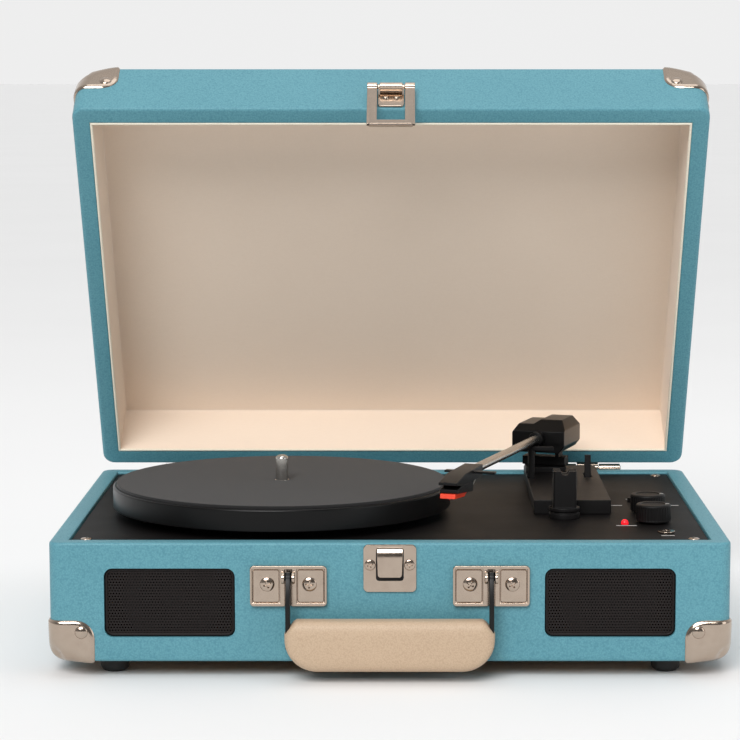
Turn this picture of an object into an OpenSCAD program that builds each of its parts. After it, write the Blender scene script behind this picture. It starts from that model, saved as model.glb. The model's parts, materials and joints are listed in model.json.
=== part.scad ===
// Suitcase record player: a hinged wooden case with a belt-driven deck,
// a tonearm, two small speakers, a folding handle and a drop latch.
// Frame: +X right, +Y to the back, +Z up, seen by the person using it.
// The origin is on the table, at the middle of the outline's box with the lid open.

/* [Case] */
// Outside width of the case
case_w = 356; // [345:1:430]
// Outside depth of the case, front to back
case_d = 256; // [250:1:310]
// Height of the base box
base_h = 63; // [60:1:80]
// Height of the lid box
lid_h = 43; // [42:1:60]
// Thickness of the wooden walls
wall_t = 10; // [8:0.5:12]
// Thickness of the lid's top board
lid_top_t = 3; // [2:0.5:4]
// Thickness of the lid's lining
lining_t = 0.8; // [0.6:0.1:1.5]
// Radius of the case's upright edges
case_r = 7; // [4:0.5:9]
// Gap between the closed lid and the base
lid_gap = 1; // [0.5:0.1:2]
// Angle that the lid stands open
lid_open = 59; // [40:1:90]
// Thickness of the bottom board
bottom_t = 3; // [2.5:0.5:5]
// Height of the rubber feet
foot_h = 9; // [7:0.5:14]
// Radius of the rubber feet
foot_r = 7.6; // [7:0.1:11]
// Distance of each foot from the case's sides
foot_inset_x = 32; // [32:1:45]
// Distance of each foot from the front and back
foot_inset_y = 21; // [20:1:45]

/* [Deck] */
// Thickness of the deck plate
deck_t = 2.5; // [2:0.5:4]
// Depth of the deck plate below the rim
deck_drop = 1.5; // [1:0.5:3]
// Distance of the spindle from the left side
spindle_from_left = 117; // [116:1:125]
// Distance of the spindle from the front
spindle_from_front = 108; // [107:1:120]
// Radius of the platter
platter_r = 94; // [85:1:95]
// Height of the platter's rim
platter_h = 12; // [10:0.5:14]
// Thickness of the felt mat
mat_t = 1.6; // [1:0.1:3]
// Radius of the spindle above the mat
spindle_r = 3.55; // [3.5:0.01:3.6]
// Radius of the platter's shaft
shaft_r = 4; // [3.7:0.1:5]
// Height of the spindle above the mat
spindle_up = 14; // [10:0.5:16]
// Radius of the motor pulley
pulley_r = 6; // [4:0.5:8]
// Distance from the spindle to the motor
motor_reach = 79; // [76:0.5:80]

/* [Tonearm] */
// Distance of the tonearm pivot from the right side
pivot_from_right = 86.5; // [80:0.5:95]
// Distance of the tonearm pivot from the back
pivot_from_back = 47; // [45:1:55]
// Length from the pivot to the stylus
arm_len = 190.5; // [188:0.5:195]
// Distance of the stylus from the spindle as the arm stands
play_r = 122; // [60:1:140]
// Height of the arm tube above the rim
arm_up = 28; // [27:0.5:29]
// Radius of the arm tube
tube_r = 2.5; // [2:0.1:3]
// Direction of the parked arm
park_bearing = -88; // [-92:0.5:-84]
// Distance of the arm rest from the pivot
rest_reach = 122; // [118:1:128]
// Height of the arm board
board_h = 8; // [6:0.5:9]

/* [Controls] */
// Distance of the knobs from the right side
knob_from_right = 34.5; // [30:0.5:40]
// Distance of the front knob from the front
knob_from_front = 72; // [65:1:80]
// Distance between the two knobs
knob_pitch = 34.5; // [28:0.5:40]
// Radius of each knob
knob_r = 9.6; // [8:0.1:12]
// Height of each knob
knob_h = 9.5; // [8:0.5:12]

/* [Hardware] */
// Distance of each handle bracket from the middle
bracket_x = 52.8; // [45:0.1:60]
// Height of the handle pin below the rim
handle_pin_drop = 17.7; // [15:0.1:20]
// Width of the handle grip
grip_w = 109; // [100:1:125]
// Height of the handle grip
grip_h = 27; // [22:1:30]
// Depth of the handle grip
grip_d = 15; // [12:0.5:18]
// Distance from the handle pin to the grip's top
grip_drop = 20.9; // [18:0.1:24]
// Width of each speaker opening
speaker_w = 68.3; // [60:0.1:75]
// Height of each speaker opening
speaker_h = 36.5; // [30:0.1:40]
// Distance of each speaker opening from the middle
speaker_x = 114.9; // [110:0.1:125]
// Length of each leg of a corner cap
corner_leg = 24; // [18:0.5:26]
// Thickness of the steel corner caps
corner_t = 1.2; // [0.8:0.1:1.6]
// Distance of each hinge from the middle
hinge_x = 120; // [110:1:135]
// Radial clearance of a shaft in its hole
run_gap = 0.05; // [0.02:0.01:0.09]

/* [Hidden] */
$fn = 48;
eps = 0.01;

// Case levels and faces
half_w = case_w / 2;
half_d = case_d / 2;
base_z = foot_h;
rim_z = base_z + base_h;
in_w = case_w - 2 * wall_t;
in_d = case_d - 2 * wall_t;
lid_z = rim_z + lid_gap;
lid_top_z = lid_z + lid_h;
lining_z = lid_top_z - lid_top_t;

// Deck levels and places
deck_top = rim_z - deck_drop;
deck_z = deck_top - deck_t;
spindle_x = -half_w + spindle_from_left;
spindle_y = -half_d + spindle_from_front;
bearing_r = 8;
bearing_flange_r = 12;
bearing_flange_h = 2.5;
bearing_down = 22;
platter_z = deck_top + 4.5;
platter_t = 3;
hub_r = 60.5;
boss_r = 11;
boss_z = deck_top + bearing_flange_h + 0.4;
mat_z = platter_z + platter_h;
mat_top = mat_z + mat_t;
motor_x = spindle_x - motor_reach * cos(45);
motor_y = spindle_y + motor_reach * sin(45);
motor_r = 17.5;
motor_h = 22;
motor_shaft_r = 1;
motor_hole_r = 9;
belt_h = 4;
belt_z = platter_z + 2.5;
belt_t = 0.7;
belt_gap = 0.25;
adapter_r = 19;
adapter_h = 6;
adapter_x = -half_w + wall_t + 28;
adapter_y = half_d - wall_t - 28;
pocket_depth = 1;
deck_screw_inset = 8;
deck_screw_x = in_w / 2 - deck_screw_inset;
deck_screw_y = in_d / 2 - deck_screw_inset;
panel_screw_x = 70;
panel_screw_inset = 6;
panel_screw_y = in_d / 2 - panel_screw_inset;
post_s = 16;
block_l = 14;
block_h = 14;

// Tonearm places
pivot_x = half_w - pivot_from_right;
pivot_y = half_d - pivot_from_back;
arm_z = rim_z + arm_up;
to_spindle = norm([spindle_x - pivot_x, spindle_y - pivot_y]);
spindle_bearing_angle = atan2(spindle_y - pivot_y, spindle_x - pivot_x);
play_angle = acos((to_spindle ^ 2 + arm_len ^ 2 - play_r ^ 2) / (2 * to_spindle * arm_len));
arm_bearing = spindle_bearing_angle + play_angle;
board_z = deck_top;
board_top = board_z + board_h;
board_left = 12;
board_right = 31;
board_front = 111;
board_back = 20;
tower_s = 24;
tower_h = 3.5;
yoke_z = board_top + tower_h + 0.4;
yoke_top = arm_z - 12.5;
ear_y = 7;
ear_t = 2.4;
ear_half = 4.5;
pin_r = 1.5;
swivel_r = 4;
swivel_down = 9;
block_back = 20;
block_front = 17;
block_half = 16;
block_low = arm_z - 8.5;
block_high = arm_z + 10.5;
tube_end = arm_len - 40;
shell_back = arm_len - 44;
shell_front = arm_len + 3;
shell_half = 5.2;
shell_low = arm_z - 3.2;
lift_reach = 31;
lift_arc = 24;
lift_travel = 5;
lift_rod_r = 2;
lift_gap = 0.3;
cue_x = half_w - 62.5;
cue_y = half_d - 66;
cue_pin_r = 1.2;
rest_x = pivot_x + rest_reach * cos(park_bearing);
rest_y = pivot_y + rest_reach * sin(park_bearing);
rest_ring_r = 8.6;
rest_s = 12.8;
switch_x = pivot_x + 6;
speed_y = pivot_y - 58;
auto_y = pivot_y - 84;
switch_travel = 6;

// Control places
knob_x = half_w - knob_from_right;
volume_y = -half_d + knob_from_front;
tone_y = volume_y + knob_pitch;
knob_lift = 0.8;
pot_r = 8;
pot_h = 8;
pot_bush_r = 3.5;
knob_shaft_r = 3;
button_x = knob_x - 5.7;
button_y = tone_y + 35.5;
button_r = 2.8;
button_travel = 1.5;
led_x = knob_x - 16;
led_y = volume_y - 5.7;
led_r = 2;
jack_x = half_w - 30.5;
jack_y = -half_d + 39.6;
jack_bore_r = 1.8;
jack_bush_r = 3.3;

// Outside hardware
front_y = -half_d;
back_y = half_d;
plate_t = 1.2;
hinge_axis_y = back_y + 2.7;
hinge_axis_z = rim_z + lid_gap / 2;
barrel_r = 2.5;
hinge_pin_r = 1.2;
hinge_l = 40;
barrel_l = 13;
leaf_h = 20;
handle_pin_z = rim_z - handle_pin_drop;
handle_pin_y = front_y - 5;
handle_pin_r = 1.5;
strap_t = 2.4;
strap_d = 8;
grip_y = front_y - 10;
grip_top = handle_pin_z - grip_drop;
grip_low_r = 17;
grip_cut = 6;
grip_round = 6;
bridge_z = grip_top - 15;
bracket_w = 40;
bracket_h = 21.4;
bracket_z = rim_z - 22.5;
bracket_t = 2.4;
bracket_rim = 1.7;
bracket_screw_x = 11;
bracket_screw_z = bracket_z + 1;
strap_gap = 0.65;
ear_plate_t = 1.6;
ear_r = 3;
catch_w = 27.6;
catch_h = 25;
catch_z = rim_z - 13.3;
catch_screw_x = 10.3;
catch_screw_z = rim_z - 11.4;
tongue_w = 13.6;
tongue_top = rim_z - 2;
tongue_low = rim_z - 18;
tongue_out = 3.2;
latch_pin_z = lid_z + 15.5;
latch_pin_y = front_y - 4.5;
latch_pin_r = 1.2;
latch_plate_w = 14.6;
latch_plate_h = 24;
latch_rivet_x = 3;
latch_rivet_z = lid_z + 9;
knuckle_r = 2.4;
bail_w = 26.8;
bail_window = 15.4;
bail_t = 1.4;
bail_bar_h = 4.6;
bail_lip_inset = 1.6;
hook_gap = 0.7;
speaker_z = rim_z - 31.8;
speaker_r = 4.5;
flange_w = 2.5;
flange_t = 1.5;
grille_t = 1.2;
grille_set_back = 1.5;
driver_r = 26;
corner_height = 22;
corner_round = 10;
rivet_r = 3.4;
rivet_in = 17;
hinge_rivet_z = 12;
screw_shaft_r = 1.5;
front_screw_l = plate_t + wall_t - 2.2;
jack_plate_x = -62;
jack_plate_w = 76;
jack_plate_h = 26;
jack_plate_z = base_z + 24;
jack_plate_t = 1.5;
rca_x = [-82, -66];
rca_r = 4.15;
rca_body_r = 3.8;
power_body_r = 4.5;
aux_x = -48;
power_x = -34;

// The origin sits under the middle of the whole outline, with the lid open
outline_front = grip_y - grip_d / 2;
cap_dy = back_y + corner_t - hinge_axis_y;
cap_dz = lid_top_z + corner_t - hinge_axis_z;
outline_back = hinge_axis_y + cap_dy * cos(lid_open) + cap_dz * sin(lid_open);
frame_y = -(outline_front + outline_back) / 2;

turquoise = [0.42, 0.66, 0.72];
cream = [0.87, 0.78, 0.68];
black = [0.09, 0.08, 0.08];
nickel = [0.80, 0.76, 0.72];
steel = [0.72, 0.73, 0.75];
board_wood = [0.66, 0.52, 0.36];

module placed() {
    translate([0, frame_y, 0]) children();
}

module lid_placed() {
    placed()
        translate([0, hinge_axis_y, hinge_axis_z]) rotate([-lid_open, 0, 0])
            translate([0, -hinge_axis_y, -hinge_axis_z]) children();
}

module arm_placed() {
    placed() translate([pivot_x, pivot_y, 0]) rotate([0, 0, arm_bearing]) children();
}

module rounded(w, d, r) {
    square([w - 2 * r, d], center = true);
    square([w, d - 2 * r], center = true);
    for (sx = [-1, 1], sy = [-1, 1])
        translate([sx * (w / 2 - r), sy * (d / 2 - r)]) circle(r);
}

// A flat sheet shape standing on the front face, growing towards the front
module on_front(x, z, t) {
    translate([x, front_y, z]) rotate([90, 0, 0]) linear_extrude(t) children();
}

module along_x(x0, x1) {
    translate([x0, 0, 0]) rotate([90, 0, 90]) linear_extrude(x1 - x0) children();
}

module box_at(x0, x1, y0, y1, z0, z1) {
    translate([x0, y0, z0]) cube([x1 - x0, y1 - y0, z1 - z0]);
}

module in_corners(x, y) {
    for (sx = [-1, 1], sy = [-1, 1]) translate([sx * x, sy * y, 0]) children();
}

// Domed screw with a cross recess; the head stands on z = 0 and the shaft goes down
module cross_screw(head_r, head_h, shaft_l) {
    difference() {
        union() {
            cylinder(r1 = head_r, r2 = head_r * 0.7, h = head_h);
            translate([0, 0, -shaft_l]) cylinder(r = screw_shaft_r, h = shaft_l + eps);
        }
        for (a = [0, 90]) rotate(a)
            translate([-head_r * 0.55, -head_r * 0.12, head_h * 0.4])
                cube([head_r * 1.1, head_r * 0.24, head_h]);
    }
}

module rivet() {
    cylinder(r1 = rivet_r, r2 = rivet_r - 1.3, h = 1.2);
}

// Steel cap over the outer corners of a box that stands from z0 to z1
module corner_cap_shell(z_face, up) {
    cap_w = case_w + 2 * corner_t;
    cap_d = case_d + 2 * corner_t;
    z_out = z_face - up * corner_t;
    z_in = z_face + up * corner_height;
    low = min(z_out, z_in);
    intersection() {
        difference() {
            translate([0, 0, low]) linear_extrude(abs(z_in - z_out))
                rounded(cap_w, cap_d, case_r + corner_t);
            translate([0, 0, up > 0 ? z_face : z_face - 100]) linear_extrude(100)
                rounded(case_w, case_d, case_r);
        }
        for (sx = [-1, 1], sy = [-1, 1]) intersection() {
            translate([sx * half_w, 0, z_face]) rotate([90, 0, 0])
                linear_extrude(case_d * 1.2, center = true)
                    rounded(2 * corner_leg, 2 * corner_height, corner_round);
            translate([0, sy * half_d, z_face]) rotate([90, 0, 90])
                linear_extrude(case_w * 1.2, center = true)
                    rounded(2 * corner_leg, 2 * corner_height, corner_round);
            translate([sx * half_w, sy * half_d, 0]) linear_extrude(lid_top_z + 20)
                rounded(2 * corner_leg, 2 * corner_leg, corner_round);
        }
    }
}

// Rivets on the front or back face and on the side face of each corner cap
module cap_rivets(z) {
    for (sx = [-1, 1], sy = [-1, 1]) {
        translate([sx * (half_w - rivet_in), sy * (half_d + corner_t), z])
            rotate([-sy * 90, 0, 0]) rivet();
        translate([sx * (half_w + corner_t), sy * (half_d - rivet_in), z])
            rotate([0, sx * 90, 0]) rivet();
    }
}

// ---- base ----

module speaker_window(grow, t) {
    for (sx = [-1, 1]) on_front(sx * speaker_x, speaker_z, t)
        rounded(speaker_w + 2 * grow, speaker_h + 2 * grow, speaker_r + grow);
}

module front_screw_holes() {
    for (sx = [-1, 1], s = [-1, 1])
        translate([sx * bracket_x + s * bracket_screw_x, front_y, bracket_screw_z])
            rotate([-90, 0, 0]) cylinder(r = screw_shaft_r, h = wall_t - 1);
    for (s = [-1, 1]) translate([s * catch_screw_x, front_y, catch_screw_z])
        rotate([-90, 0, 0]) cylinder(r = screw_shaft_r, h = wall_t - 1);
}

module base_frame() color(turquoise) difference() {
    translate([0, 0, base_z]) linear_extrude(base_h) rounded(case_w, case_d, case_r);
    box_at(-in_w / 2, in_w / 2, -in_d / 2, in_d / 2, base_z - 1, rim_z + 1);
    translate([0, wall_t + 1, 0]) speaker_window(0, wall_t + 2);
    front_screw_holes();
    translate([jack_plate_x, back_y + 1, jack_plate_z]) rotate([90, 0, 0])
        linear_extrude(wall_t + 2) square([jack_plate_w, jack_plate_h], center = true);
}

module glue_blocks() color(board_wood) {
    in_corners(in_w / 2 - post_s / 2, in_d / 2 - post_s / 2)
        difference() {
            box_at(-post_s / 2, post_s / 2, -post_s / 2, post_s / 2, base_z + bottom_t, deck_z);
            translate([0, 0, deck_z - 9]) cylinder(r = screw_shaft_r, h = 10);
        }
    in_corners(panel_screw_x, panel_screw_y)
        difference() {
            box_at(-block_l / 2, block_l / 2, -panel_screw_inset, panel_screw_inset,
                base_z + bottom_t, base_z + bottom_t + block_h);
            translate([0, 0, base_z]) cylinder(r = screw_shaft_r, h = 12);
        }
}

module bottom_panel() color(board_wood) difference() {
    box_at(-in_w / 2, in_w / 2, -in_d / 2, in_d / 2, base_z, base_z + bottom_t);
    in_corners(panel_screw_x, panel_screw_y)
        translate([0, 0, base_z - 1]) cylinder(r = screw_shaft_r, h = bottom_t + 2);
    in_corners(half_w - foot_inset_x, half_d - foot_inset_y)
        translate([0, 0, base_z - 1]) cylinder(r = screw_shaft_r, h = bottom_t + 2);
    for (i = [0:6]) box_at(-4 + i * 12, i * 12, -30, 30, base_z - 1, base_z + bottom_t + 1);
}

module underside_screws() color(steel) {
    in_corners(panel_screw_x, panel_screw_y)
        translate([0, 0, base_z]) rotate([180, 0, 0]) cross_screw(3.2, 1.5, 12);
    in_corners(half_w - foot_inset_x, half_d - foot_inset_y)
        translate([0, 0, foot_h / 2]) rotate([180, 0, 0])
            cross_screw(3.2, 1.5, foot_h / 2 + bottom_t);
}

module deck_plate() color(black) difference() {
    translate([0, 0, deck_z]) linear_extrude(deck_t) rounded(in_w - 0.6, in_d - 0.6, 1);
    translate([spindle_x, spindle_y, deck_z - 1]) cylinder(r = bearing_r, h = deck_t + 2);
    translate([motor_x, motor_y, deck_z - 1]) cylinder(r = motor_hole_r, h = deck_t + 2);
    translate([adapter_x, adapter_y, deck_top - pocket_depth])
        cylinder(r = adapter_r + 0.3, h = pocket_depth + 1);
    in_corners(deck_screw_x, deck_screw_y)
        translate([0, 0, deck_z - 1]) cylinder(r = screw_shaft_r, h = deck_t + 2);
    for (y = [volume_y, tone_y])
        translate([knob_x, y, deck_z - 1]) cylinder(r = pot_bush_r, h = deck_t + 2);
    translate([button_x, button_y, deck_z - 1])
        cylinder(r = button_r + run_gap, h = deck_t + 2);
    translate([led_x, led_y, deck_z - 1]) cylinder(r = led_r, h = deck_t + 2);
    translate([jack_x, jack_y, deck_z - 1]) cylinder(r = jack_bush_r, h = deck_t + 2);
    translate([pivot_x, pivot_y, deck_z - 1])
        cylinder(r = swivel_r + run_gap, h = deck_t + 2);
    translate([pivot_x, pivot_y, 0]) rotate([0, 0, arm_bearing])
        translate([lift_reach, 0, deck_z - 1])
            cylinder(r = lift_rod_r + run_gap, h = deck_t + 2);
}

module deck_screws() color(nickel)
    in_corners(deck_screw_x, deck_screw_y)
        translate([0, 0, deck_top]) cross_screw(3, 1.2, deck_t + 7);

module speaker_grilles() color(black) for (sx = [-1, 1]) difference() {
    union() {
        translate([0, wall_t, 0]) on_front(sx * speaker_x, speaker_z, wall_t - grille_set_back)
            rounded(speaker_w, speaker_h, speaker_r);
        translate([0, wall_t + flange_t, 0]) on_front(sx * speaker_x, speaker_z, flange_t)
            rounded(speaker_w + 2 * flange_w, speaker_h + 2 * flange_w, speaker_r + flange_w);
    }
    translate([0, wall_t + 2, 0])
        on_front(sx * speaker_x, speaker_z, wall_t + 2 - grille_set_back - grille_t)
            rounded(speaker_w - 2 * grille_t, speaker_h - 2 * grille_t, speaker_r - grille_t);
}

module driver_at() {
    for (sx = [-1, 1]) translate([sx * speaker_x, front_y + wall_t + flange_t, speaker_z])
        rotate([-90, 0, 0]) children();
}

module speaker_frames() color(steel) driver_at() {
    rotate_extrude() polygon([[driver_r - 3, 0], [driver_r, 0], [driver_r, 2],
        [driver_r - 4, 3], [13, 15], [13, 26], [0, 26], [0, 17], [9, 17], [9, 14.5],
        [driver_r - 5, 2]]);
}

module speaker_cones() color([0.16, 0.15, 0.15]) driver_at() {
    rotate_extrude() polygon([[driver_r - 3, 0], [driver_r - 3.6, 0.6], [driver_r - 5.5, 1.2],
        [8, 13.6], [8.6, 16.8], [0, 16.8], [0, 10.5], [6.5, 11.2], [driver_r - 9, 0.6]]);
}

module base_corners() color(nickel) corner_cap_shell(base_z, 1);

module base_rivets() color(steel) {
    cap_rivets(base_z + rivet_in - corner_t);
    for (sx = [-1, 1], s = [-1, 1])
        translate([sx * hinge_x + s * hinge_l / 3, back_y + plate_t, rim_z - hinge_rivet_z])
            rotate([-90, 0, 0]) rivet();
}

module feet() color([0.06, 0.06, 0.06])
    in_corners(half_w - foot_inset_x, half_d - foot_inset_y) difference() {
        union() {
            cylinder(r1 = foot_r - 0.8, r2 = foot_r, h = foot_h - 3);
            translate([0, 0, foot_h - 3]) cylinder(r = foot_r, h = 3);
        }
        translate([0, 0, -1]) cylinder(r = 3.6, h = foot_h / 2 + 1);
        cylinder(r = screw_shaft_r, h = foot_h + 1);
    }

module handle_brackets() color(nickel) for (sx = [-1, 1]) {
    x = sx * bracket_x;
    channel = strap_t / 2 + strap_gap;
    difference() {
        union() {
            on_front(x, bracket_z, bracket_t) rounded(bracket_w, bracket_h, 2);
            for (s = [-1, 1]) bracket_ear(x + s * (channel + ear_plate_t / 2));
        }
        for (s = [-1, 1]) translate([x + s * 11.6, front_y - plate_t, bracket_z])
            rotate([90, 0, 0]) linear_extrude(3)
                square([14.5, bracket_h - 2 * bracket_rim], center = true);
        box_at(x - channel, x + channel, front_y - bracket_t - 1, front_y - 1,
            bracket_z - bracket_h, handle_pin_z + 4);
        for (s = [-1, 1])
            translate([x + s * bracket_screw_x, front_y + 1, bracket_screw_z])
                rotate([90, 0, 0]) cylinder(r = screw_shaft_r, h = 4);
        along_x_bore(x - 6, x + 6, handle_pin_y, handle_pin_z, handle_pin_r + run_gap);
    }
}

module along_x_bore(x0, x1, y, z, r) {
    translate([x0, y, z]) rotate([0, 90, 0]) cylinder(r = r, h = x1 - x0);
}

// Ear that carries one end of the handle pin
module bracket_ear(x) {
    along_x(x - ear_plate_t / 2, x + ear_plate_t / 2) {
        translate([handle_pin_y, handle_pin_z]) circle(ear_r);
        translate([handle_pin_y, handle_pin_z - ear_r])
            square([front_y - plate_t - handle_pin_y, 2 * ear_r]);
    }
}

module bracket_screws() color(nickel) for (sx = [-1, 1], s = [-1, 1])
    translate([sx * bracket_x + s * bracket_screw_x, front_y - plate_t, bracket_screw_z])
        rotate([90, 0, 0]) cross_screw(3.9, 1.8, front_screw_l);

module catch_plate() color(nickel) difference() {
    union() {
        on_front(0, catch_z, plate_t) rounded(catch_w, catch_h, 2.5);
        along_x(-tongue_w / 2, tongue_w / 2)
            polygon([[front_y - plate_t / 2, tongue_top], [front_y - 2, tongue_top - 2],
                [front_y - tongue_out, tongue_low + 3], [front_y - tongue_out, tongue_low],
                [front_y - tongue_out + 1.2, tongue_low],
                [front_y - tongue_out + 1.5, tongue_low + 3],
                [front_y - plate_t / 2, tongue_top - 5]]);
    }
    for (s = [-1, 1]) translate([s * catch_screw_x, front_y + 1, catch_screw_z])
        rotate([90, 0, 0]) cylinder(r = screw_shaft_r, h = 4);
}

module catch_screws() color(nickel) for (s = [-1, 1])
    translate([s * catch_screw_x, front_y - plate_t, catch_screw_z])
        rotate([90, 0, 0]) cross_screw(2.9, 0.9, front_screw_l);

module hinge_base_leaves() color(nickel) for (sx = [-1, 1]) translate([sx * hinge_x, 0, 0])
    difference() {
        union() {
            box_at(-hinge_l / 2, hinge_l / 2, back_y, back_y + plate_t,
                rim_z - leaf_h, rim_z - barrel_r);
            for (s = [-1, 1]) {
                x0 = s > 0 ? hinge_l / 2 - barrel_l : -hinge_l / 2;
                along_x_bore(x0, x0 + barrel_l, hinge_axis_y, hinge_axis_z, barrel_r);
                box_at(x0, x0 + barrel_l, back_y, back_y + 1.6,
                    rim_z - barrel_r - 1, hinge_axis_z);
            }
        }
        along_x_bore(-hinge_l, hinge_l, hinge_axis_y, hinge_axis_z, hinge_pin_r + run_gap);
    }

module motor() color(steel) {
    difference() {
        union() {
            translate([motor_x, motor_y, deck_z - 4 - motor_h])
                cylinder(r = motor_r, h = motor_h);
            translate([motor_x, motor_y, deck_z - 4 - eps]) cylinder(r = 4, h = 2);
            for (s = [-1, 1]) translate([motor_x + s * 13, motor_y, deck_z - 4 - eps])
                cylinder(r = 2.5, h = 4 + eps);
        }
        translate([motor_x, motor_y, deck_z - 4 - motor_h + 3])
            cylinder(r = motor_shaft_r + run_gap, h = motor_h);
    }
}

module belt_outline(grow) {
    hull() {
        translate([spindle_x, spindle_y]) circle(hub_r + grow, $fn = 96);
        translate([motor_x, motor_y]) circle(pulley_r + grow, $fn = 32);
    }
}

module drive_belt() color([0.05, 0.05, 0.05])
    translate([0, 0, belt_z]) linear_extrude(belt_h) difference() {
        belt_outline(belt_gap + belt_t);
        belt_outline(belt_gap);
    }

module spindle_bearing() color([0.72, 0.58, 0.30])
    translate([spindle_x, spindle_y, 0]) difference() {
        union() {
            translate([0, 0, deck_z - bearing_down])
                cylinder(r = bearing_r, h = deck_t + bearing_down);
            translate([0, 0, deck_top]) cylinder(r = bearing_flange_r, h = bearing_flange_h);
        }
        translate([0, 0, deck_z - bearing_down + 3])
            cylinder(r = shaft_r + run_gap, h = bearing_down + 20);
    }

module amplifier_board() color([0.12, 0.38, 0.20]) {
    board_x = half_w - 110;
    board_y = -half_d + 60;
    low = deck_z - 22;
    high = low + 1.6;
    box_at(board_x, half_w - 30, board_y, half_d - 70, low, high);
    for (i = [0:2]) translate([board_x + 10 + i * 14, half_d - 84, high])
        cylinder(r = 4, h = 10);
    box_at(half_w - 60, half_w - 40, half_d - 92, half_d - 80, high, high + 12);
    for (p = [[board_x + 6, board_y + 6], [half_w - 36, half_d - 76]])
        translate([p[0], p[1], high]) cylinder(r = 2.5, h = deck_z - high);
}

module control_pots() color(steel) for (y = [volume_y, tone_y])
    translate([knob_x, y, 0]) difference() {
        union() {
            translate([0, 0, deck_z - pot_h]) cylinder(r = pot_r, h = pot_h);
            translate([0, 0, deck_z - eps]) cylinder(r = pot_bush_r, h = deck_t + 0.3);
        }
        translate([0, 0, deck_z - pot_h + 1.5])
            cylinder(r = knob_shaft_r + run_gap, h = pot_h + 10);
    }

module jack_plate() color(black) difference() {
    box_at(jack_plate_x - jack_plate_w / 2, jack_plate_x + jack_plate_w / 2,
        back_y - jack_plate_t, back_y,
        jack_plate_z - jack_plate_h / 2, jack_plate_z + jack_plate_h / 2);
    for (x = rca_x) socket_hole(x, rca_body_r);
    socket_hole(aux_x, jack_bush_r);
    socket_hole(power_x, power_body_r);
}

module socket_hole(x, r) {
    translate([x, back_y - 20, jack_plate_z]) rotate([-90, 0, 0]) cylinder(r = r, h = 40);
}

// Socket with its mouth proud of the back face
module socket(x, mouth_r, body_r, bore_r, proud, depth) {
    translate([x, back_y + proud, jack_plate_z]) rotate([90, 0, 0]) difference() {
        union() {
            cylinder(r = mouth_r, h = proud);
            cylinder(r = body_r, h = depth + 3);
        }
        translate([0, 0, -1]) cylinder(r = bore_r, h = depth + 1);
    }
}

module rear_sockets() color(steel) {
    for (x = rca_x) socket(x, rca_r, rca_body_r, 1.6, 8, 10);
    socket(aux_x, jack_bush_r + 1, jack_bush_r, jack_bore_r, 1, 14);
    socket(power_x, power_body_r + 0.8, power_body_r, 2.75, 0.6, 9);
}

module headphone_jack() color(nickel) translate([jack_x, jack_y, 0]) difference() {
    union() {
        translate([0, 0, deck_top]) cylinder(r = 4.6, h = 1);
        translate([0, 0, deck_top - 15]) cylinder(r = jack_bush_r, h = 15 + eps);
    }
    translate([0, 0, deck_top - 13]) cylinder(r = jack_bore_r, h = 15);
}

module power_led() color([0.85, 0.08, 0.12]) translate([led_x, led_y, 0])
    union() {
        translate([0, 0, deck_z - 1]) cylinder(r = led_r, h = deck_t + 1.6);
        translate([0, 0, deck_top + 0.6]) sphere(r = led_r);
    }

// ---- tonearm ----

module arm_board() color([0.17, 0.15, 0.14]) difference() {
    box_at(pivot_x - board_left, pivot_x + board_right, pivot_y - board_front,
        pivot_y + board_back, board_z, board_top);
    translate([pivot_x, pivot_y, board_z - 1])
        cylinder(r = swivel_r + run_gap, h = board_h + 2);
    translate([pivot_x, pivot_y, 0]) rotate([0, 0, arm_bearing])
        translate([lift_reach, 0, board_z - 1])
            cylinder(r = lift_rod_r + run_gap, h = board_h + 2);
    for (y = [speed_y, auto_y]) switch_slot(y);
    box_at(cue_x - 2.3, cue_x + 2.3, cue_y - 8.5, cue_y + 8.5, board_z + 2, board_top + 1);
    along_x_bore(cue_x - 5.5, cue_x + 5.5, cue_y, board_top - 3, cue_pin_r + run_gap);
}

module switch_slot(y) {
    box_at(switch_x - 2, switch_x + 2, y - 1.6, y + 1.6 + switch_travel,
        board_z + 2, board_top + 1);
}

module arm_tower() color(black) translate([pivot_x, pivot_y, 0]) difference() {
    translate([0, 0, board_top]) linear_extrude(tower_h) rounded(tower_s, tower_s, 3);
    translate([0, 0, board_top - 1]) cylinder(r = swivel_r + run_gap, h = tower_h + 2);
}

module arm_rest() color(black) translate([rest_x, rest_y, 0])
    difference() {
        union() {
            translate([0, 0, deck_top]) cylinder(r = rest_ring_r, h = 3);
            translate([0, 0, deck_top + 3]) cylinder(r = rest_ring_r - 1, h = 1.2);
            translate([0, 0, deck_top + 4.2]) cylinder(r = rest_ring_r, h = 2);
            translate([0, 0, deck_top + 6.2]) linear_extrude(arm_z - tube_r - 0.4 - deck_top - 6.2)
                rounded(rest_s, rest_s - 1, 1.5);
        }
        translate([0, 0, arm_z - tube_r - 0.4]) rotate([90, 0, 0])
            cylinder(r = 2.2, h = 30, center = true);
        box_at(-10, 10, -1.6, 1.6, arm_z - tube_r - 4.5, arm_z);
    }

module record_adapter() color([0.10, 0.10, 0.10])
    translate([adapter_x, adapter_y, deck_top - pocket_depth]) difference() {
        union() {
            cylinder(r = adapter_r, h = adapter_h - 1.5);
            translate([0, 0, adapter_h - 1.5 - eps])
                cylinder(r1 = adapter_r, r2 = adapter_r - 1.5, h = 1.5 + eps);
        }
        translate([0, 0, -1]) cylinder(r = spindle_r + 0.1, h = adapter_h + 2);
        translate([0, 0, adapter_h - 2]) difference() {
            cylinder(r = adapter_r - 4, h = 3);
            cylinder(r = 8, h = 3);
        }
    }

module slide_switch(y) {
    box_at(switch_x - 1.9, switch_x + 1.9, y - 1.5, y + 1.5, board_z + 2.1, board_top + 5);
    box_at(switch_x - 1.9, switch_x + 1.9, y - 1.5, y - 0.6, board_top + 5 - eps, board_top + 6);
}

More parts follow.
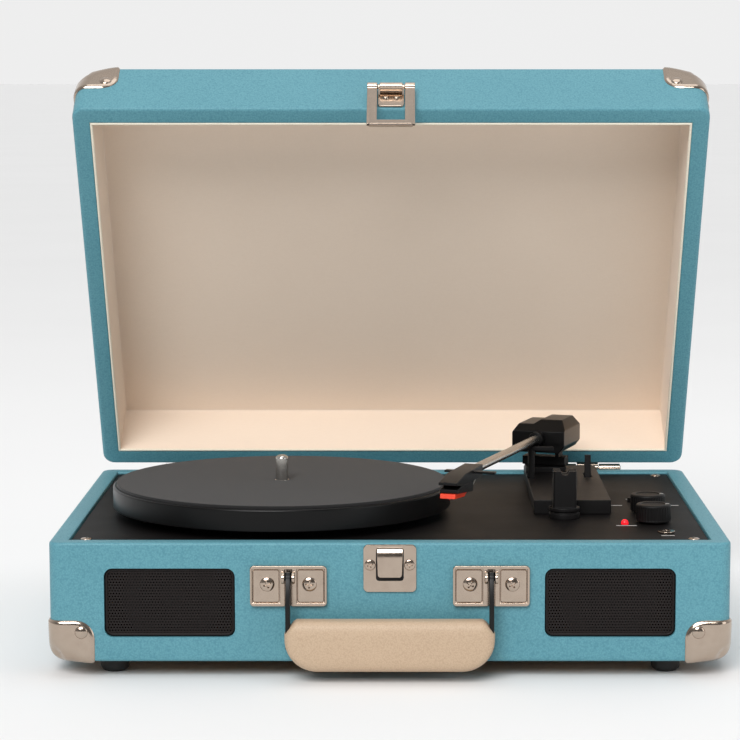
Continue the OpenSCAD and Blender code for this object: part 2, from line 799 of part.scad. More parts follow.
module speed_switch() color(black) slide_switch(speed_y);

module auto_stop_switch() color(black) slide_switch(auto_y);

module arm_yoke() color(black) difference() {
    union() {
        translate([0, 0, yoke_z]) linear_extrude(yoke_top - yoke_z)
            square([2 * ear_half, 26], center = true);
        for (s = [-1, 1]) box_at(-ear_half, ear_half, s * (ear_y + ear_t / 2) - ear_t / 2,
            s * (ear_y + ear_t / 2) + ear_t / 2, yoke_top - eps, arm_z + 3.5);
        translate([0, 0, board_top - swivel_down]) cylinder(r = swivel_r,
            h = yoke_z - board_top + swivel_down + eps);
    }
    translate([0, 0, arm_z]) rotate([90, 0, 0])
        cylinder(r = pin_r + run_gap, h = 40, center = true);
}

module arm_block() color(black) difference() {
    intersection() {
        along_x(-block_back, block_front) polygon([[-block_half, block_low + 4],
            [-block_half, arm_z + 3], [-13, arm_z + 8], [-4, arm_z + 8], [0, block_high],
            [13, block_high], [block_half, arm_z + 5], [block_half, block_low + 4],
            [13, block_low], [-14, block_low]]);
        rotate([90, 0, 0]) linear_extrude(60, center = true) polygon([
            [-block_back, block_low], [-block_back, arm_z + 5], [-14, block_high],
            [10, block_high], [block_front, arm_z + 4], [block_front, block_low]]);
    }
    box_at(-8, 8, -11.5, 11.5, block_low - 1, arm_z + 5.5);
    translate([0, 0, arm_z]) rotate([90, 0, 0]) cylinder(r = pin_r, h = 30, center = true);
    translate([8 - eps, 0, arm_z]) rotate([0, 90, 0]) cylinder(r = tube_r, h = 30);
}

module arm_pin() color(steel) translate([0, 0, arm_z]) rotate([90, 0, 0])
    cylinder(r = pin_r, h = 30, center = true);

module arm_tube() color([0.62, 0.60, 0.57]) difference() {
    translate([8, 0, arm_z]) rotate([0, 90, 0]) cylinder(r = tube_r, h = tube_end - 8);
    translate([7, 0, arm_z]) rotate([0, 90, 0]) cylinder(r = tube_r - 0.6, h = tube_end);
}

module headshell() color(black) difference() {
    union() {
        rotate([90, 0, 0]) linear_extrude(2 * shell_half, center = true) polygon([
            [shell_back, arm_z + 3.2], [arm_len - 12, arm_z + 2.4], [shell_front, arm_z - 0.5],
            [shell_front, arm_z - 2], [arm_len - 6, shell_low], [shell_back, shell_low]]);
        box_at(arm_len - 30, arm_len - 26, -shell_half - 6, shell_half + 12,
            arm_z + 0.6, arm_z + 1.8);
    }
    translate([shell_back - 1, 0, arm_z]) rotate([0, 90, 0])
        cylinder(r = tube_r, h = tube_end - shell_back + 1);
}

module cartridge() color([0.07, 0.07, 0.07])
    rotate([90, 0, 0]) linear_extrude(10, center = true) polygon([
        [arm_len - 27, shell_low], [arm_len - 6, shell_low], [arm_len + 1, arm_z - 4.5],
        [arm_len + 1, arm_z - 6.5], [arm_len - 24, arm_z - 8.8], [arm_len - 27, arm_z - 8.8]]);

module stylus() color([0.95, 0.25, 0.10]) {
    rotate([90, 0, 0]) linear_extrude(8.4, center = true) polygon([
        [arm_len - 18, arm_z - 8.25], [arm_len + 1, arm_z - 6.5], [arm_len + 3, arm_z - 6.5],
        [arm_len + 3, arm_z - 9], [arm_len - 14, arm_z - 10]]);
    translate([arm_len, 0, mat_top + 1.3])
        cylinder(r1 = 0.15, r2 = 0.5, h = arm_z - 9 - mat_top - 1.3 + eps);
}

module cue_lever() color(black) union() {
    along_x_bore(cue_x - 5.3, cue_x + 5.3, cue_y, board_top - 3, cue_pin_r);
    along_x(cue_x - 1.8, cue_x + 1.8) {
        translate([cue_y, board_top - 3]) circle(2.6);
        polygon([[cue_y - 2.2, board_top - 3], [cue_y + 2.2, board_top - 3],
            [cue_y + 0.9, board_top + 12], [cue_y - 0.9, board_top + 12]]);
    }
}

module cue_lift() color(black) {
    top = arm_z - tube_r - lift_gap;
    rotate([0, 0, -lift_arc + 2]) translate([0, 0, top - 2.4])
        rotate_extrude(angle = 2 * lift_arc - 2) translate([lift_reach - 1.5, 0]) square([3, 2.4]);
    translate([lift_reach, 0, deck_z - 3]) cylinder(r = lift_rod_r, h = top - 2.4 - deck_z + 3 + 1);
}

// ---- platter ----

module platter() color([0.20, 0.20, 0.21]) translate([spindle_x, spindle_y, 0])
    rotate_extrude($fn = 96) polygon([[shaft_r, boss_z], [boss_r, boss_z],
        [boss_r, mat_z - platter_t], [hub_r - 3, mat_z - platter_t], [hub_r - 3, belt_z - 1],
        [hub_r, belt_z - 1], [hub_r, mat_z - platter_t], [platter_r - 3, mat_z - platter_t],
        [platter_r - 3, platter_z], [platter_r, platter_z], [platter_r, mat_z - 0.8],
        [platter_r - 0.8, mat_z], [shaft_r, mat_z]]);

module platter_mat() color([0.13, 0.13, 0.14]) translate([spindle_x, spindle_y, mat_z])
    difference() {
        cylinder(r = platter_r - 2, h = mat_t, $fn = 96);
        translate([0, 0, -1]) cylinder(r = shaft_r, h = mat_t + 2);
    }

module spindle() color(steel) translate([spindle_x, spindle_y, 0])
    rotate_extrude() polygon([[0, deck_z - bearing_down + 3.5],
        [shaft_r, deck_z - bearing_down + 3.5], [shaft_r, mat_top], [spindle_r, mat_top],
        [spindle_r, mat_top + spindle_up - 2],
        [spindle_r - 0.7, mat_top + spindle_up - 0.6], [spindle_r - 2, mat_top + spindle_up],
        [0, mat_top + spindle_up]]);

module motor_pulley() color([0.72, 0.58, 0.30]) translate([motor_x, motor_y, 0]) {
    rotate_extrude() polygon([[0, deck_z - 4 - motor_h + 4],
        [motor_shaft_r, deck_z - 4 - motor_h + 4], [motor_shaft_r, deck_top + 2.5],
        [3, deck_top + 2.5], [3, belt_z - 1], [pulley_r + 1, belt_z - 1],
        [pulley_r + 1, belt_z - 0.4], [pulley_r, belt_z - 0.2], [pulley_r, belt_z + belt_h + 0.2],
        [pulley_r + 1, belt_z + belt_h + 0.4], [pulley_r + 1, belt_z + belt_h + 0.8],
        [0, belt_z + belt_h + 0.8]]);
}

// ---- controls ----

module knob(y) {
    translate([knob_x, y, deck_top + knob_lift]) union() {
        cylinder(r = knob_r, h = knob_h - 1);
        translate([0, 0, knob_h - 1 - eps])
            cylinder(r1 = knob_r, r2 = knob_r - 1, h = 1 + eps);
        translate([0, 0, -knob_lift - deck_t - pot_h + 2])
            cylinder(r = knob_shaft_r, h = knob_lift + deck_t + pot_h - 2 + eps);
        box_at(knob_r - 1.5, knob_r + 0.6, -0.8, 0.8, 1, knob_h - 0.6);
    }
}

module volume_knob() color(black) knob(volume_y);

module tone_knob() color(black) knob(tone_y);

module source_button() color([0.2, 0.2, 0.2]) translate([button_x, button_y, deck_z - 3])
    cylinder(r = button_r, h = deck_t + 3 + 2.4);

// ---- lid, modelled closed ----

module lid_frame() color(turquoise) difference() {
    translate([0, 0, lid_z]) linear_extrude(lid_h) rounded(case_w, case_d, case_r);
    box_at(-in_w / 2, in_w / 2, -in_d / 2, in_d / 2, lid_z - 1, lining_z);
}

module lid_lining() color(cream) difference() {
    box_at(-in_w / 2, in_w / 2, -in_d / 2, in_d / 2, lid_z + 0.4, lining_z);
    box_at(-in_w / 2 + lining_t, in_w / 2 - lining_t, -in_d / 2 + lining_t,
        in_d / 2 - lining_t, lid_z - 1, lining_z - lining_t);
}

module lid_corners() color(nickel) corner_cap_shell(lid_top_z, -1);

module lid_rivets() color(steel) {
    cap_rivets(lid_top_z - rivet_in + corner_t);
    for (sx = [-1, 1], s = [-1, 1])
        translate([sx * hinge_x + s * hinge_l / 3, back_y + plate_t, lid_z + hinge_rivet_z])
            rotate([-90, 0, 0]) rivet();
}

module hinge_lid_leaves() color(nickel) for (sx = [-1, 1]) translate([sx * hinge_x, 0, 0])
    difference() {
        mid = hinge_l / 2 - barrel_l - 0.5;
        union() {
            box_at(-hinge_l / 2, hinge_l / 2, back_y, back_y + plate_t,
                lid_z + barrel_r, lid_z + leaf_h);
            along_x_bore(-mid, mid, hinge_axis_y, hinge_axis_z, barrel_r);
            box_at(-mid, mid, back_y, back_y + 1.6, hinge_axis_z, lid_z + barrel_r + 1);
        }
        along_x_bore(-hinge_l, hinge_l, hinge_axis_y, hinge_axis_z, hinge_pin_r);
    }

module hinge_pins() color(steel) for (sx = [-1, 1])
    along_x_bore(sx * hinge_x - hinge_l / 2 - 0.5, sx * hinge_x + hinge_l / 2 + 0.5,
        hinge_axis_y, hinge_axis_z, hinge_pin_r);

module latch_plate() color(nickel) difference() {
    union() {
        on_front(0, lid_z + 1 + latch_plate_h / 2, plate_t)
            rounded(latch_plate_w, latch_plate_h, 2);
        along_x(-latch_plate_w / 2 + 1, latch_plate_w / 2 - 1) {
            translate([latch_pin_y, latch_pin_z]) circle(knuckle_r);
            translate([latch_pin_y, latch_pin_z])
                square([front_y - plate_t / 2 - latch_pin_y, knuckle_r]);
        }
    }
    along_x_bore(-bail_w, bail_w, latch_pin_y, latch_pin_z, latch_pin_r + run_gap);
    for (s = [-1, 1]) translate([s * latch_rivet_x, front_y + 1, latch_rivet_z])
        rotate([90, 0, 0]) cylinder(r = 1, h = 4);
}

module latch_rivets() color(nickel) for (s = [-1, 1])
    translate([s * latch_rivet_x, front_y - plate_t, latch_rivet_z]) rotate([90, 0, 0]) {
        cylinder(r1 = 2, r2 = 1.2, h = 1);
        translate([0, 0, -plate_t]) cylinder(r = 1, h = plate_t + eps);
    }

// The bail stands in line with the lid's wall, just outside the catch's tongue
module latch_bail() color(nickel) translate([0, latch_pin_y, latch_pin_z]) {
    bar_top = tongue_low - hook_gap - latch_pin_z;
    bar_low = bar_top - bail_bar_h;
    rail_w = (bail_w - bail_window) / 2;
    rotate([0, 90, 0]) cylinder(r = latch_pin_r, h = bail_w, center = true);
    for (x = [-bail_w / 2, bail_window / 2]) along_x(x, x + rail_w) {
        circle(knuckle_r);
        translate([-bail_t / 2, bar_low]) square([bail_t, -bar_low]);
    }
    along_x(-bail_w / 2, bail_w / 2)
        translate([-bail_t / 2, bar_low]) square([bail_t, bail_bar_h]);
    along_x(-bail_w / 2 + bail_lip_inset, bail_w / 2 - bail_lip_inset)
        polygon([[-bail_t / 2, bar_low + 0.5], [bail_t / 2, bar_low + 0.5],
            [bail_t / 2 - 0.6, bar_low - 2], [-2.4, bar_low - 4.4], [-3.6, bar_low - 3.6],
            [-1.4, bar_low - 1.4]]);
}

// ---- handle ----

module strap_outline() {
    translate([handle_pin_y, handle_pin_z]) circle(3.2);
    polygon([[handle_pin_y - 3.2, handle_pin_z], [handle_pin_y + 2, handle_pin_z - 2.5],
        [grip_y + strap_d / 2, handle_pin_z - 12], [grip_y + strap_d / 2, bridge_z],
        [grip_y - strap_d / 2, bridge_z], [grip_y - strap_d / 2, handle_pin_z - 14]]);
}

module strap_bridge() {
    box_at(-bracket_x, bracket_x, grip_y - strap_d / 2, grip_y + strap_d / 2,
        bridge_z, bridge_z + strap_t);
}

// One steel band bent down at both ends, with a pin through each end
module handle_straps() color([0.05, 0.05, 0.05]) {
    pin_half = strap_t / 2 + strap_gap + ear_plate_t;
    for (sx = [-1, 1]) translate([sx * bracket_x - strap_t / 2, 0, 0])
        along_x(0, strap_t) strap_outline();
    strap_bridge();
    for (sx = [-1, 1]) along_x_bore(sx * bracket_x - pin_half, sx * bracket_x + pin_half,
        handle_pin_y, handle_pin_z, handle_pin_r);
}

// Seen from the front the grip's lower corners are large arcs and its upper ones are cut off
module grip_face() {
    difference() {
        translate([0, -grip_h / 2]) square([grip_w, grip_h], center = true);
        for (s = [-1, 1]) translate([s * grip_w / 2, -grip_h]) difference() {
            square(2 * grip_low_r, center = true);
            translate([-s * grip_low_r, grip_low_r]) circle(grip_low_r);
        }
        for (s = [-1, 1]) translate([s * grip_w / 2, 0]) rotate(45)
            square(grip_cut, center = true);
    }
}

module handle_grip() color(cream) difference() {
    intersection() {
        translate([0, grip_y, grip_top]) rotate([90, 0, 0])
            linear_extrude(grip_d + 2, center = true) grip_face();
        translate([0, grip_y, grip_top - grip_h / 2])
            along_x(-grip_w, grip_w) rounded(grip_d, grip_h, grip_round);
    }
    for (sx = [-1, 1]) translate([sx * bracket_x - strap_t / 2, 0, 0])
        along_x(0, strap_t) strap_outline();
    strap_bridge();
}

placed() base_frame();
placed() glue_blocks();
placed() bottom_panel();
placed() underside_screws();
placed() deck_plate();
placed() deck_screws();
placed() speaker_grilles();
placed() speaker_frames();
placed() speaker_cones();
placed() base_corners();
placed() base_rivets();
placed() feet();
placed() handle_brackets();
placed() bracket_screws();
placed() catch_plate();
placed() catch_screws();
placed() hinge_base_leaves();
placed() motor();
placed() drive_belt();
placed() spindle_bearing();
placed() amplifier_board();
placed() control_pots();
placed() jack_plate();
placed() rear_sockets();
placed() headphone_jack();
placed() power_led();
placed() arm_board();
placed() arm_tower();
placed() arm_rest();
placed() record_adapter();
placed() speed_switch();
placed() auto_stop_switch();
lid_placed() lid_frame();
lid_placed() lid_lining();
lid_placed() lid_corners();
lid_placed() lid_rivets();
lid_placed() hinge_lid_leaves();
lid_placed() hinge_pins();
lid_placed() latch_plate();
lid_placed() latch_rivets();
lid_placed() latch_bail();
placed() handle_grip();
placed() handle_straps();
placed() platter();
placed() platter_mat();
placed() spindle();
placed() motor_pulley();
arm_placed() arm_yoke();
arm_placed() arm_block();
arm_placed() arm_pin();
arm_placed() arm_tube();
arm_placed() headshell();
arm_placed() cartridge();
arm_placed() stylus();
placed() cue_lever();
arm_placed() cue_lift();
placed() volume_knob();
placed() tone_knob();
placed() source_button();
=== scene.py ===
import json
import math

import bmesh
import bpy
from mathutils import Matrix, Vector


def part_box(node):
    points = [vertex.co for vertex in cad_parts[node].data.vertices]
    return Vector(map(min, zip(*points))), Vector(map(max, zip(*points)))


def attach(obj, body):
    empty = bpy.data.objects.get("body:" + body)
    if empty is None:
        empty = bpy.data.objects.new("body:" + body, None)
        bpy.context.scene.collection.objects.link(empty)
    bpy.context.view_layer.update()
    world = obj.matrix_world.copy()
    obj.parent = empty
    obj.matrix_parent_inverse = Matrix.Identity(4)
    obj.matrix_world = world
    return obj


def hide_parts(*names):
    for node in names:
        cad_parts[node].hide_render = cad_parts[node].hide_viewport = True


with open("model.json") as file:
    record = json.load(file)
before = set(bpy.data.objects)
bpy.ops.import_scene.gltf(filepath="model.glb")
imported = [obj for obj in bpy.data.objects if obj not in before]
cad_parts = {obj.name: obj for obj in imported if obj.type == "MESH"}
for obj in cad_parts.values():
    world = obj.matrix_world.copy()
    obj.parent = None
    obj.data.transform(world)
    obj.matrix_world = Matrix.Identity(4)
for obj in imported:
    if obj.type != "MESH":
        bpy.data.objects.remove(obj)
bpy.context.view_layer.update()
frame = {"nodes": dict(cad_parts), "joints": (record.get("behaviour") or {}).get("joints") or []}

# ---- Floor, light and camera ----
# The player stands on a plain pale floor under soft studio light.
# Sizes are in millimetres from the middle of the case and from the floor; at() turns them into places.

MM = 0.001
case_low, case_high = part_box("base_frame")
case_middle_y = (case_low.y + case_high.y) / 2


def at(x, y, z):
    return Vector((x * MM, y * MM + case_middle_y, z * MM))


def paint(red, green, blue):
    """A colour for the nodes from its 0 to 255 screen values."""
    def linear(c):
        c /= 255
        return c / 12.92 if c < 0.04045 else ((c + 0.055) / 1.055) ** 2.4
    return linear(red), linear(green), linear(blue), 1.0


class Wire:
    """An output of a finish's nodes; adding, subtracting or multiplying it adds a Math node."""

    def __init__(self, finish, socket):
        self.finish = finish
        self.socket = socket

    def sum(self, operation, *terms):
        return self.finish.node("ShaderNodeMath", {"operation": operation}, dict(enumerate(terms)))

    def __add__(self, other):
        return self.sum("ADD", self, other)

    def __sub__(self, other):
        return self.sum("SUBTRACT", self, other)

    def __rsub__(self, other):
        return self.sum("SUBTRACT", other, self)

    def __mul__(self, other):
        return self.sum("MULTIPLY", self, other)

    __radd__ = __add__
    __rmul__ = __mul__


class Finish:
    """A material made of nodes, with its shader's fixed values given by name."""

    def __init__(self, name, fixed):
        self.material = bpy.data.materials.new(name)
        self.material.use_nodes = True
        tree = self.material.node_tree
        tree.nodes.clear()
        self.nodes, self.links = tree.nodes, tree.links
        self.shader = self.nodes.new("ShaderNodeBsdfPrincipled")
        output = self.nodes.new("ShaderNodeOutputMaterial")
        self.links.new(self.shader.outputs[0], output.inputs[0])
        for socket, value in fixed.items():
            self.shader.inputs[socket].default_value = value
        self.place = self.node("ShaderNodeTexCoord", {}, {}, "Object")

    def node(self, kind, settings, sockets, output=0):
        made = self.nodes.new(kind)
        for name, value in settings.items():
            if name == "stops":
                stops = made.color_ramp.elements
                while len(stops) < len(value):
                    stops.new(1.0)
                for stop, (position, colour) in zip(stops, value):
                    stop.position, stop.color = position, colour
            else:
                setattr(made, name, value)
        for socket, value in sockets.items():
            if isinstance(value, Wire):
                self.links.new(value.socket, made.inputs[socket])
            else:
                made.inputs[socket].default_value = value
        return Wire(self, made.outputs[output])

    def cloud(self, size_mm, detail=2.0, stretch=(1, 1, 1)):
        """Soft noise whose patches are about size_mm across."""
        place = self.node("ShaderNodeVectorMath", {"operation": "MULTIPLY"}, {0: self.place, 1: stretch})
        return self.node("ShaderNodeTexNoise", {},
                         {"Vector": place, "Scale": 1 / (size_mm * MM), "Detail": detail})

    def mix(self, share, first, second):
        return self.node("ShaderNodeMix", {"data_type": "RGBA"}, {0: share, 6: first, 7: second}, 2)

    def feed(self, socket, wire):
        self.links.new(wire.socket, self.shader.inputs[socket])

    def relief(self, height, depth_mm, strength=1.0):
        """Bumps of that depth; height runs from 0 to 1."""
        self.feed("Normal", self.node("ShaderNodeBump", {}, {
            "Strength": strength, "Distance": depth_mm * MM, "Height": height}))


FLOOR_REACH = 60
floor_finish = Finish("studio_floor", {"Roughness": 0.85, "Specular IOR Level": 0.1})
floor_finish.feed("Base Color", floor_finish.mix(
    floor_finish.cloud(400), paint(232, 232, 232), paint(236, 236, 236)))
floor_mesh = bpy.data.meshes.new("studio_floor")
floor_mesh.from_pydata([(x * FLOOR_REACH, y * FLOOR_REACH, 0) for x, y in
                        ((-1, -1), (1, -1), (1, 1), (-1, 1))], [], [(0, 1, 2, 3)])
floor = bpy.data.objects.new("studio_floor", floor_mesh)
floor_mesh.materials.append(floor_finish.material)
bpy.context.scene.collection.objects.link(floor)

bpy.context.scene.view_settings.view_transform = "Standard"
SKY_IN_FRONT, SKY_BEHIND = 0.08, 0.86
world = bpy.data.worlds.new("studio")
world.use_nodes = True
sky = world.node_tree
sky_place = sky.nodes.new("ShaderNodeTexCoord")
sky_split = sky.nodes.new("ShaderNodeSeparateXYZ")
sky_shade = sky.nodes.new("ShaderNodeMapRange")
for socket, value in zip(sky_shade.inputs[1:5], (-1, 1, SKY_IN_FRONT, SKY_BEHIND)):
    socket.default_value = value
sky.links.new(sky_place.outputs["Generated"], sky_split.inputs[0])
sky.links.new(sky_split.outputs[1], sky_shade.inputs[0])
sky.links.new(sky_shade.outputs[0], sky.nodes["Background"].inputs[1])
sky.nodes["Background"].inputs[0].default_value = (1, 1, 1, 1)
bpy.context.scene.world = world


def softbox(name, place, target, size, power):
    light = bpy.data.lights.new(name, "AREA")
    light.shape = "RECTANGLE"
    light.size, light.size_y = size
    light.energy = power
    lamp = bpy.data.objects.new(name, light)
    lamp.location = place
    lamp.rotation_euler = (target - place).to_track_quat("-Z", "Y").to_euler()
    bpy.context.scene.collection.objects.link(lamp)


softbox("top_light", at(100, 0, 1700), at(0, 0, 100), (1.2, 1.2), 6)
softbox("side_fill", at(1500, -900, 600), at(0, 0, 150), (0.8, 1.0), 4)
KEY_SOFTNESS, KEY_POWER = 35, 2.6
KEY_TILT, KEY_TURN = 52, -14
key = bpy.data.lights.new("key_light", "SUN")
key.angle = math.radians(KEY_SOFTNESS)
key.energy = KEY_POWER
key_lamp = bpy.data.objects.new("key_light", key)
key_lamp.rotation_euler = (math.radians(KEY_TILT), 0, math.radians(KEY_TURN))
bpy.context.scene.collection.objects.link(key_lamp)

CAMERA_X, CAMERA_DISTANCE, CAMERA_HEIGHT = 9.5, 1480.4, 315.4
CAMERA_TILT = 7.54
CAMERA_LENS, CAMERA_SHIFT = 128.5, (-0.0515, 0.0676)
camera = bpy.data.objects.new("camera", bpy.data.cameras.new("camera"))
camera.location = at(CAMERA_X, -CAMERA_DISTANCE, CAMERA_HEIGHT)
camera.rotation_euler = (math.radians(90 - CAMERA_TILT), 0, 0)
camera.data.sensor_width = 36
camera.data.lens = CAMERA_LENS
camera.data.shift_x, camera.data.shift_y = CAMERA_SHIFT
bpy.context.scene.collection.objects.link(camera)
bpy.context.scene.camera = camera

# ---- Base box ----
# Four glued fibreboard walls, 10 mm thick, wrapped in turquoise leatherette that is folded over
# the rim and the lower edge. The front has two windows for the speakers, the back one for the sockets.

CASE_W, CASE_D = 356, 256
WALL = 10
BASE_LOW, RIM = 9, 72
LID_LOW, LID_TOP = 73, 116
HALF_W, HALF_D = CASE_W / 2, CASE_D / 2
BALL_R = 12
UPRIGHT_R = 7
FOLD_R = 1.5
BALL_REACH = 25
NEAR = (0, 1, 2, 3.5, 5, 7, 9, 11.5, 14, 17, 20, 24, 30)


def ease(share):
    share = min(max(share, 0), 1)
    return share * share * (3 - 2 * share)


def soften(x, y, z, ball_z, up, grow=0.0):
    """Moves a point of a sharp box onto the box with ball corners. ball_z is the face that has
    the ball corners, up is 1 if the box stands above it, and grow makes the box larger all round."""
    gaps = [HALF_W + grow - abs(x), HALF_D + grow - abs(y), (z - ball_z) * up + grow]
    square = sum(g * g for g in gaps) or 1
    edge = FOLD_R + (UPRIGHT_R - FOLD_R) * ease(gaps[2] ** 2 / square)
    radius = edge + (BALL_R - edge) * ease(1 - max(gaps) / BALL_REACH) + grow
    pull = [max(radius - g, 0) for g in gaps]
    length = math.hypot(*pull)
    if length:
        scale = max(pull) / length
        gaps = [radius - p * scale if p else g for p, g in zip(pull, gaps)]
    return (math.copysign(HALF_W + grow - gaps[0], x), math.copysign(HALF_D + grow - gaps[1], y),
            ball_z + up * (gaps[2] - grow))


def rectangle(half_w, half_d):
    """Points round a rectangle, closer together near its corners."""
    corners = [(-half_w, -half_d), (half_w, -half_d), (half_w, half_d), (-half_w, half_d)]
    points = []
    for (x0, y0), (x1, y1) in zip(corners, corners[1:] + corners[:1]):
        length = math.hypot(x1 - x0, y1 - y0)
        for step in [*NEAR, *[length - n for n in reversed(NEAR[1:])]]:
            points.append((x0 + (x1 - x0) * step / length, y0 + (y1 - y0) * step / length))
    return points


def loft(loops, closed=False, cap=True):
    """Skins loops of points, given in millimetres, into one closed mesh."""
    bm = bmesh.new()
    rings = [[bm.verts.new(at(*p)) for p in loop] for loop in loops]
    count = len(rings[0])
    pairs = list(zip(rings, rings[1:])) + ([(rings[-1], rings[0])] if closed else [])
    for low, high in pairs:
        for i in range(count):
            j = (i + 1) % count
            bm.faces.new((low[i], low[j], high[j], high[i]))
    if cap and not closed:
        bm.faces.new(list(reversed(rings[0])))
        bm.faces.new(rings[-1])
    bmesh.ops.remove_doubles(bm, verts=bm.verts[:], dist=1e-7)
    bmesh.ops.recalc_face_normals(bm, faces=bm.faces[:])
    return bm


def box_shell(profile, ball=None, closed=False):
    """A box's wall skinned from (inset, z) pairs; ball is (ball_z, up) for ball corners."""
    loops = []
    for inset, z in profile:
        loop = [(x, y, z) for x, y in rectangle(HALF_W - inset, HALF_D - inset)]
        loops.append([soften(*p, *ball) for p in loop] if ball else loop)
    return loft(loops, closed)


def piece(name, mesh, finish, body, slot_name, *nodes, turn=None, sharp=35, bevel=0.0):
    """Makes an object that rides on a body and stands for those nodes."""
    if isinstance(mesh, bmesh.types.BMesh):
        if turn:
            bmesh.ops.transform(mesh, matrix=turn, verts=mesh.verts[:])
        data = bpy.data.meshes.new(name)
        mesh.to_mesh(data)
        mesh.free()
    else:
        data = mesh
        if turn:
            data.transform(turn)
    made = bpy.data.objects.new(name, data)
    bpy.context.scene.collection.objects.link(made)
    data.materials.clear()
    data.materials.append(finish.material)
    data.shade_smooth()
    if bevel:
        edge = made.modifiers.new("eased_edges", "BEVEL")
        edge.width = bevel * MM
        edge.segments = 2
        edge.limit_method = "ANGLE"
        edge.angle_limit = math.radians(sharp)
        edge.use_clamp_overlap = False
        edge.harden_normals = False
    else:
        data.set_sharp_from_angle(angle=math.radians(sharp))
    made.modifiers.new("flat_faces", "WEIGHTED_NORMAL").keep_sharp = True
    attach(made, body)
    if nodes:
        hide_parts(*nodes)
    return made


def leatherette(name, top, deep, gloss, pebble_mm=0.85, depth_mm=0.05):
    """Pressed plastic sheet with a pebble grain, a little darker between the pebbles."""
    finish = Finish(name, {"Specular IOR Level": 0.4, "Coat Roughness": 0.4})
    wander = finish.cloud(2.2, 3)
    pebbles = finish.node("ShaderNodeTexVoronoi", {"feature": "SMOOTH_F1"}, {
        "Vector": finish.place, "Scale": 1 / (pebble_mm * MM), "Smoothness": 0.7})
    creases = finish.cloud(0.5, 4)
    height = 1 - pebbles * 0.9 + creases * 0.35 + wander * 0.2
    patches = finish.cloud(55, 2)
    grain = finish.node("ShaderNodeValToRGB", {
        "stops": [(0.25, (0, 0, 0, 1)), (0.8, (1, 1, 1, 1))]}, {0: pebbles * 0.85 + patches * 0.25})
    finish.feed("Base Color", finish.mix(grain, top, deep))
    finish.feed("Roughness", gloss + pebbles * 0.12 + creases * 0.06)
    finish.relief(height, depth_mm, 0.8)
    return finish


turquoise_leatherette = leatherette("turquoise_leatherette", paint(94, 151, 163),
                                    paint(76, 132, 146), 0.42)


def solid_of(made):
    """The object's mesh with its modifiers worked in, on its own."""
    depsgraph = bpy.context.evaluated_depsgraph_get()
    return bpy.data.meshes.new_from_object(made.evaluated_get(depsgraph))


def round_rectangle(width, height, radius, steps=6):
    points = []
    for corner, (sx, sy) in enumerate(((1, 1), (-1, 1), (-1, -1), (1, -1))):
        for i in range(steps + 1):
            a = math.radians(90 * (corner + i / steps))
            points.append((sx * (width / 2 - radius) + radius * math.cos(a),
                           sy * (height / 2 - radius) + radius * math.sin(a)))
    return points


def cut_windows(bm, windows):
    """Cuts prisms out of a mesh; each is (outline of x and z, middle x, middle z, from y, to y)."""
    body = bpy.data.objects.new("uncut", bpy.data.meshes.new("uncut"))
    bm.to_mesh(body.data)
    bm.free()
    bpy.context.scene.collection.objects.link(body)
    for outline, x, z, y0, y1 in windows:
        tool = loft([[(x + u, y, z + v) for u, v in outline] for y in (y0, y1)])
        cutter = bpy.data.objects.new("cutter", bpy.data.meshes.new("cutter"))
        tool.to_mesh(cutter.data)
        tool.free()
        bpy.context.scene.collection.objects.link(cutter)
        step = body.modifiers.new("cut", "BOOLEAN")
        step.object, step.operation, step.solver = cutter, "DIFFERENCE", "EXACT"
        body.data = solid_of(body)
        body.modifiers.clear()
        bpy.data.objects.remove(cutter)
    data = body.data
    bpy.data.objects.remove(body)
    return data


LOWER = (30, 24, 20, 17, 14, 11.5, 9, 7, 5, 3.5, 2, 1)
base_profile = [(WALL, BASE_LOW), (WALL, RIM - 1.2), (WALL - 0.4, RIM - 0.35), (WALL - 1.2, RIM),
                (1.6, RIM), (0.75, RIM - 0.22), (0.22, RIM - 0.75), (0, RIM - 1.6)]
base_profile += [(0, BASE_LOW + d) for d in LOWER]
base_profile += [(d, BASE_LOW) for d in (0, 1, 2, 3.5, 5, 7)]
SPEAKER_X, SPEAKER_Z, SPEAKER_W, SPEAKER_H, SPEAKER_R = 114.9, 40.2, 68.3, 36.5, 4.5
window = round_rectangle(SPEAKER_W, SPEAKER_H, SPEAKER_R)
cuts = [(window, side * SPEAKER_X, SPEAKER_Z, -HALF_D - 1, -HALF_D + WALL + 1) for side in (-1, 1)]
SOCKETS_X, SOCKETS_Z, SOCKETS_W, SOCKETS_H = -62, 33, 76, 26
cuts.append((round_rectangle(SOCKETS_W, SOCKETS_H, 0.5, 1), SOCKETS_X, SOCKETS_Z,
             HALF_D - WALL - 1, HALF_D + 1))
piece("base_box", cut_windows(box_shell(base_profile, (BASE_LOW, 1), closed=True), cuts),
      turquoise_leatherette, "base", "turquoise_leatherette", "base_frame", sharp=32)

# ---- Inside the base ----
# Corner posts and cleats hold the deck and the fibreboard bottom. Under the deck are the motor,
# the amplifier board and the knobs' controls; the speakers stand behind their windows.


def plain(name, first, second, roughness, patch_mm=6, relief_mm=0.0, metallic=0.0, detail=3.0,
          stretch=(1, 1, 1), **fixed):
    """A finish of one material: its colour wanders between two, and its gloss with it."""
    sockets = {"Metallic": metallic}
    sockets.update({key.replace("_", " ").replace("Ior", "IOR"): v for key, v in fixed.items()})
    finish = Finish(name, sockets)
    patches = finish.cloud(patch_mm, detail, stretch)
    finish.feed("Base Color", finish.mix(patches, first, second))
    finish.feed("Roughness", roughness + patches * 0.1 - 0.05)
    if relief_mm:
        finish.relief(finish.cloud(0.35, 2, stretch), relief_mm, 0.6)
    return finish


def carried(names, finish):
    """CAD nodes that keep their shape and get this finish."""
    for name in names:
        shown = frame["nodes"][name]
        shown.data.materials.clear()
        shown.data.materials.append(finish.material)


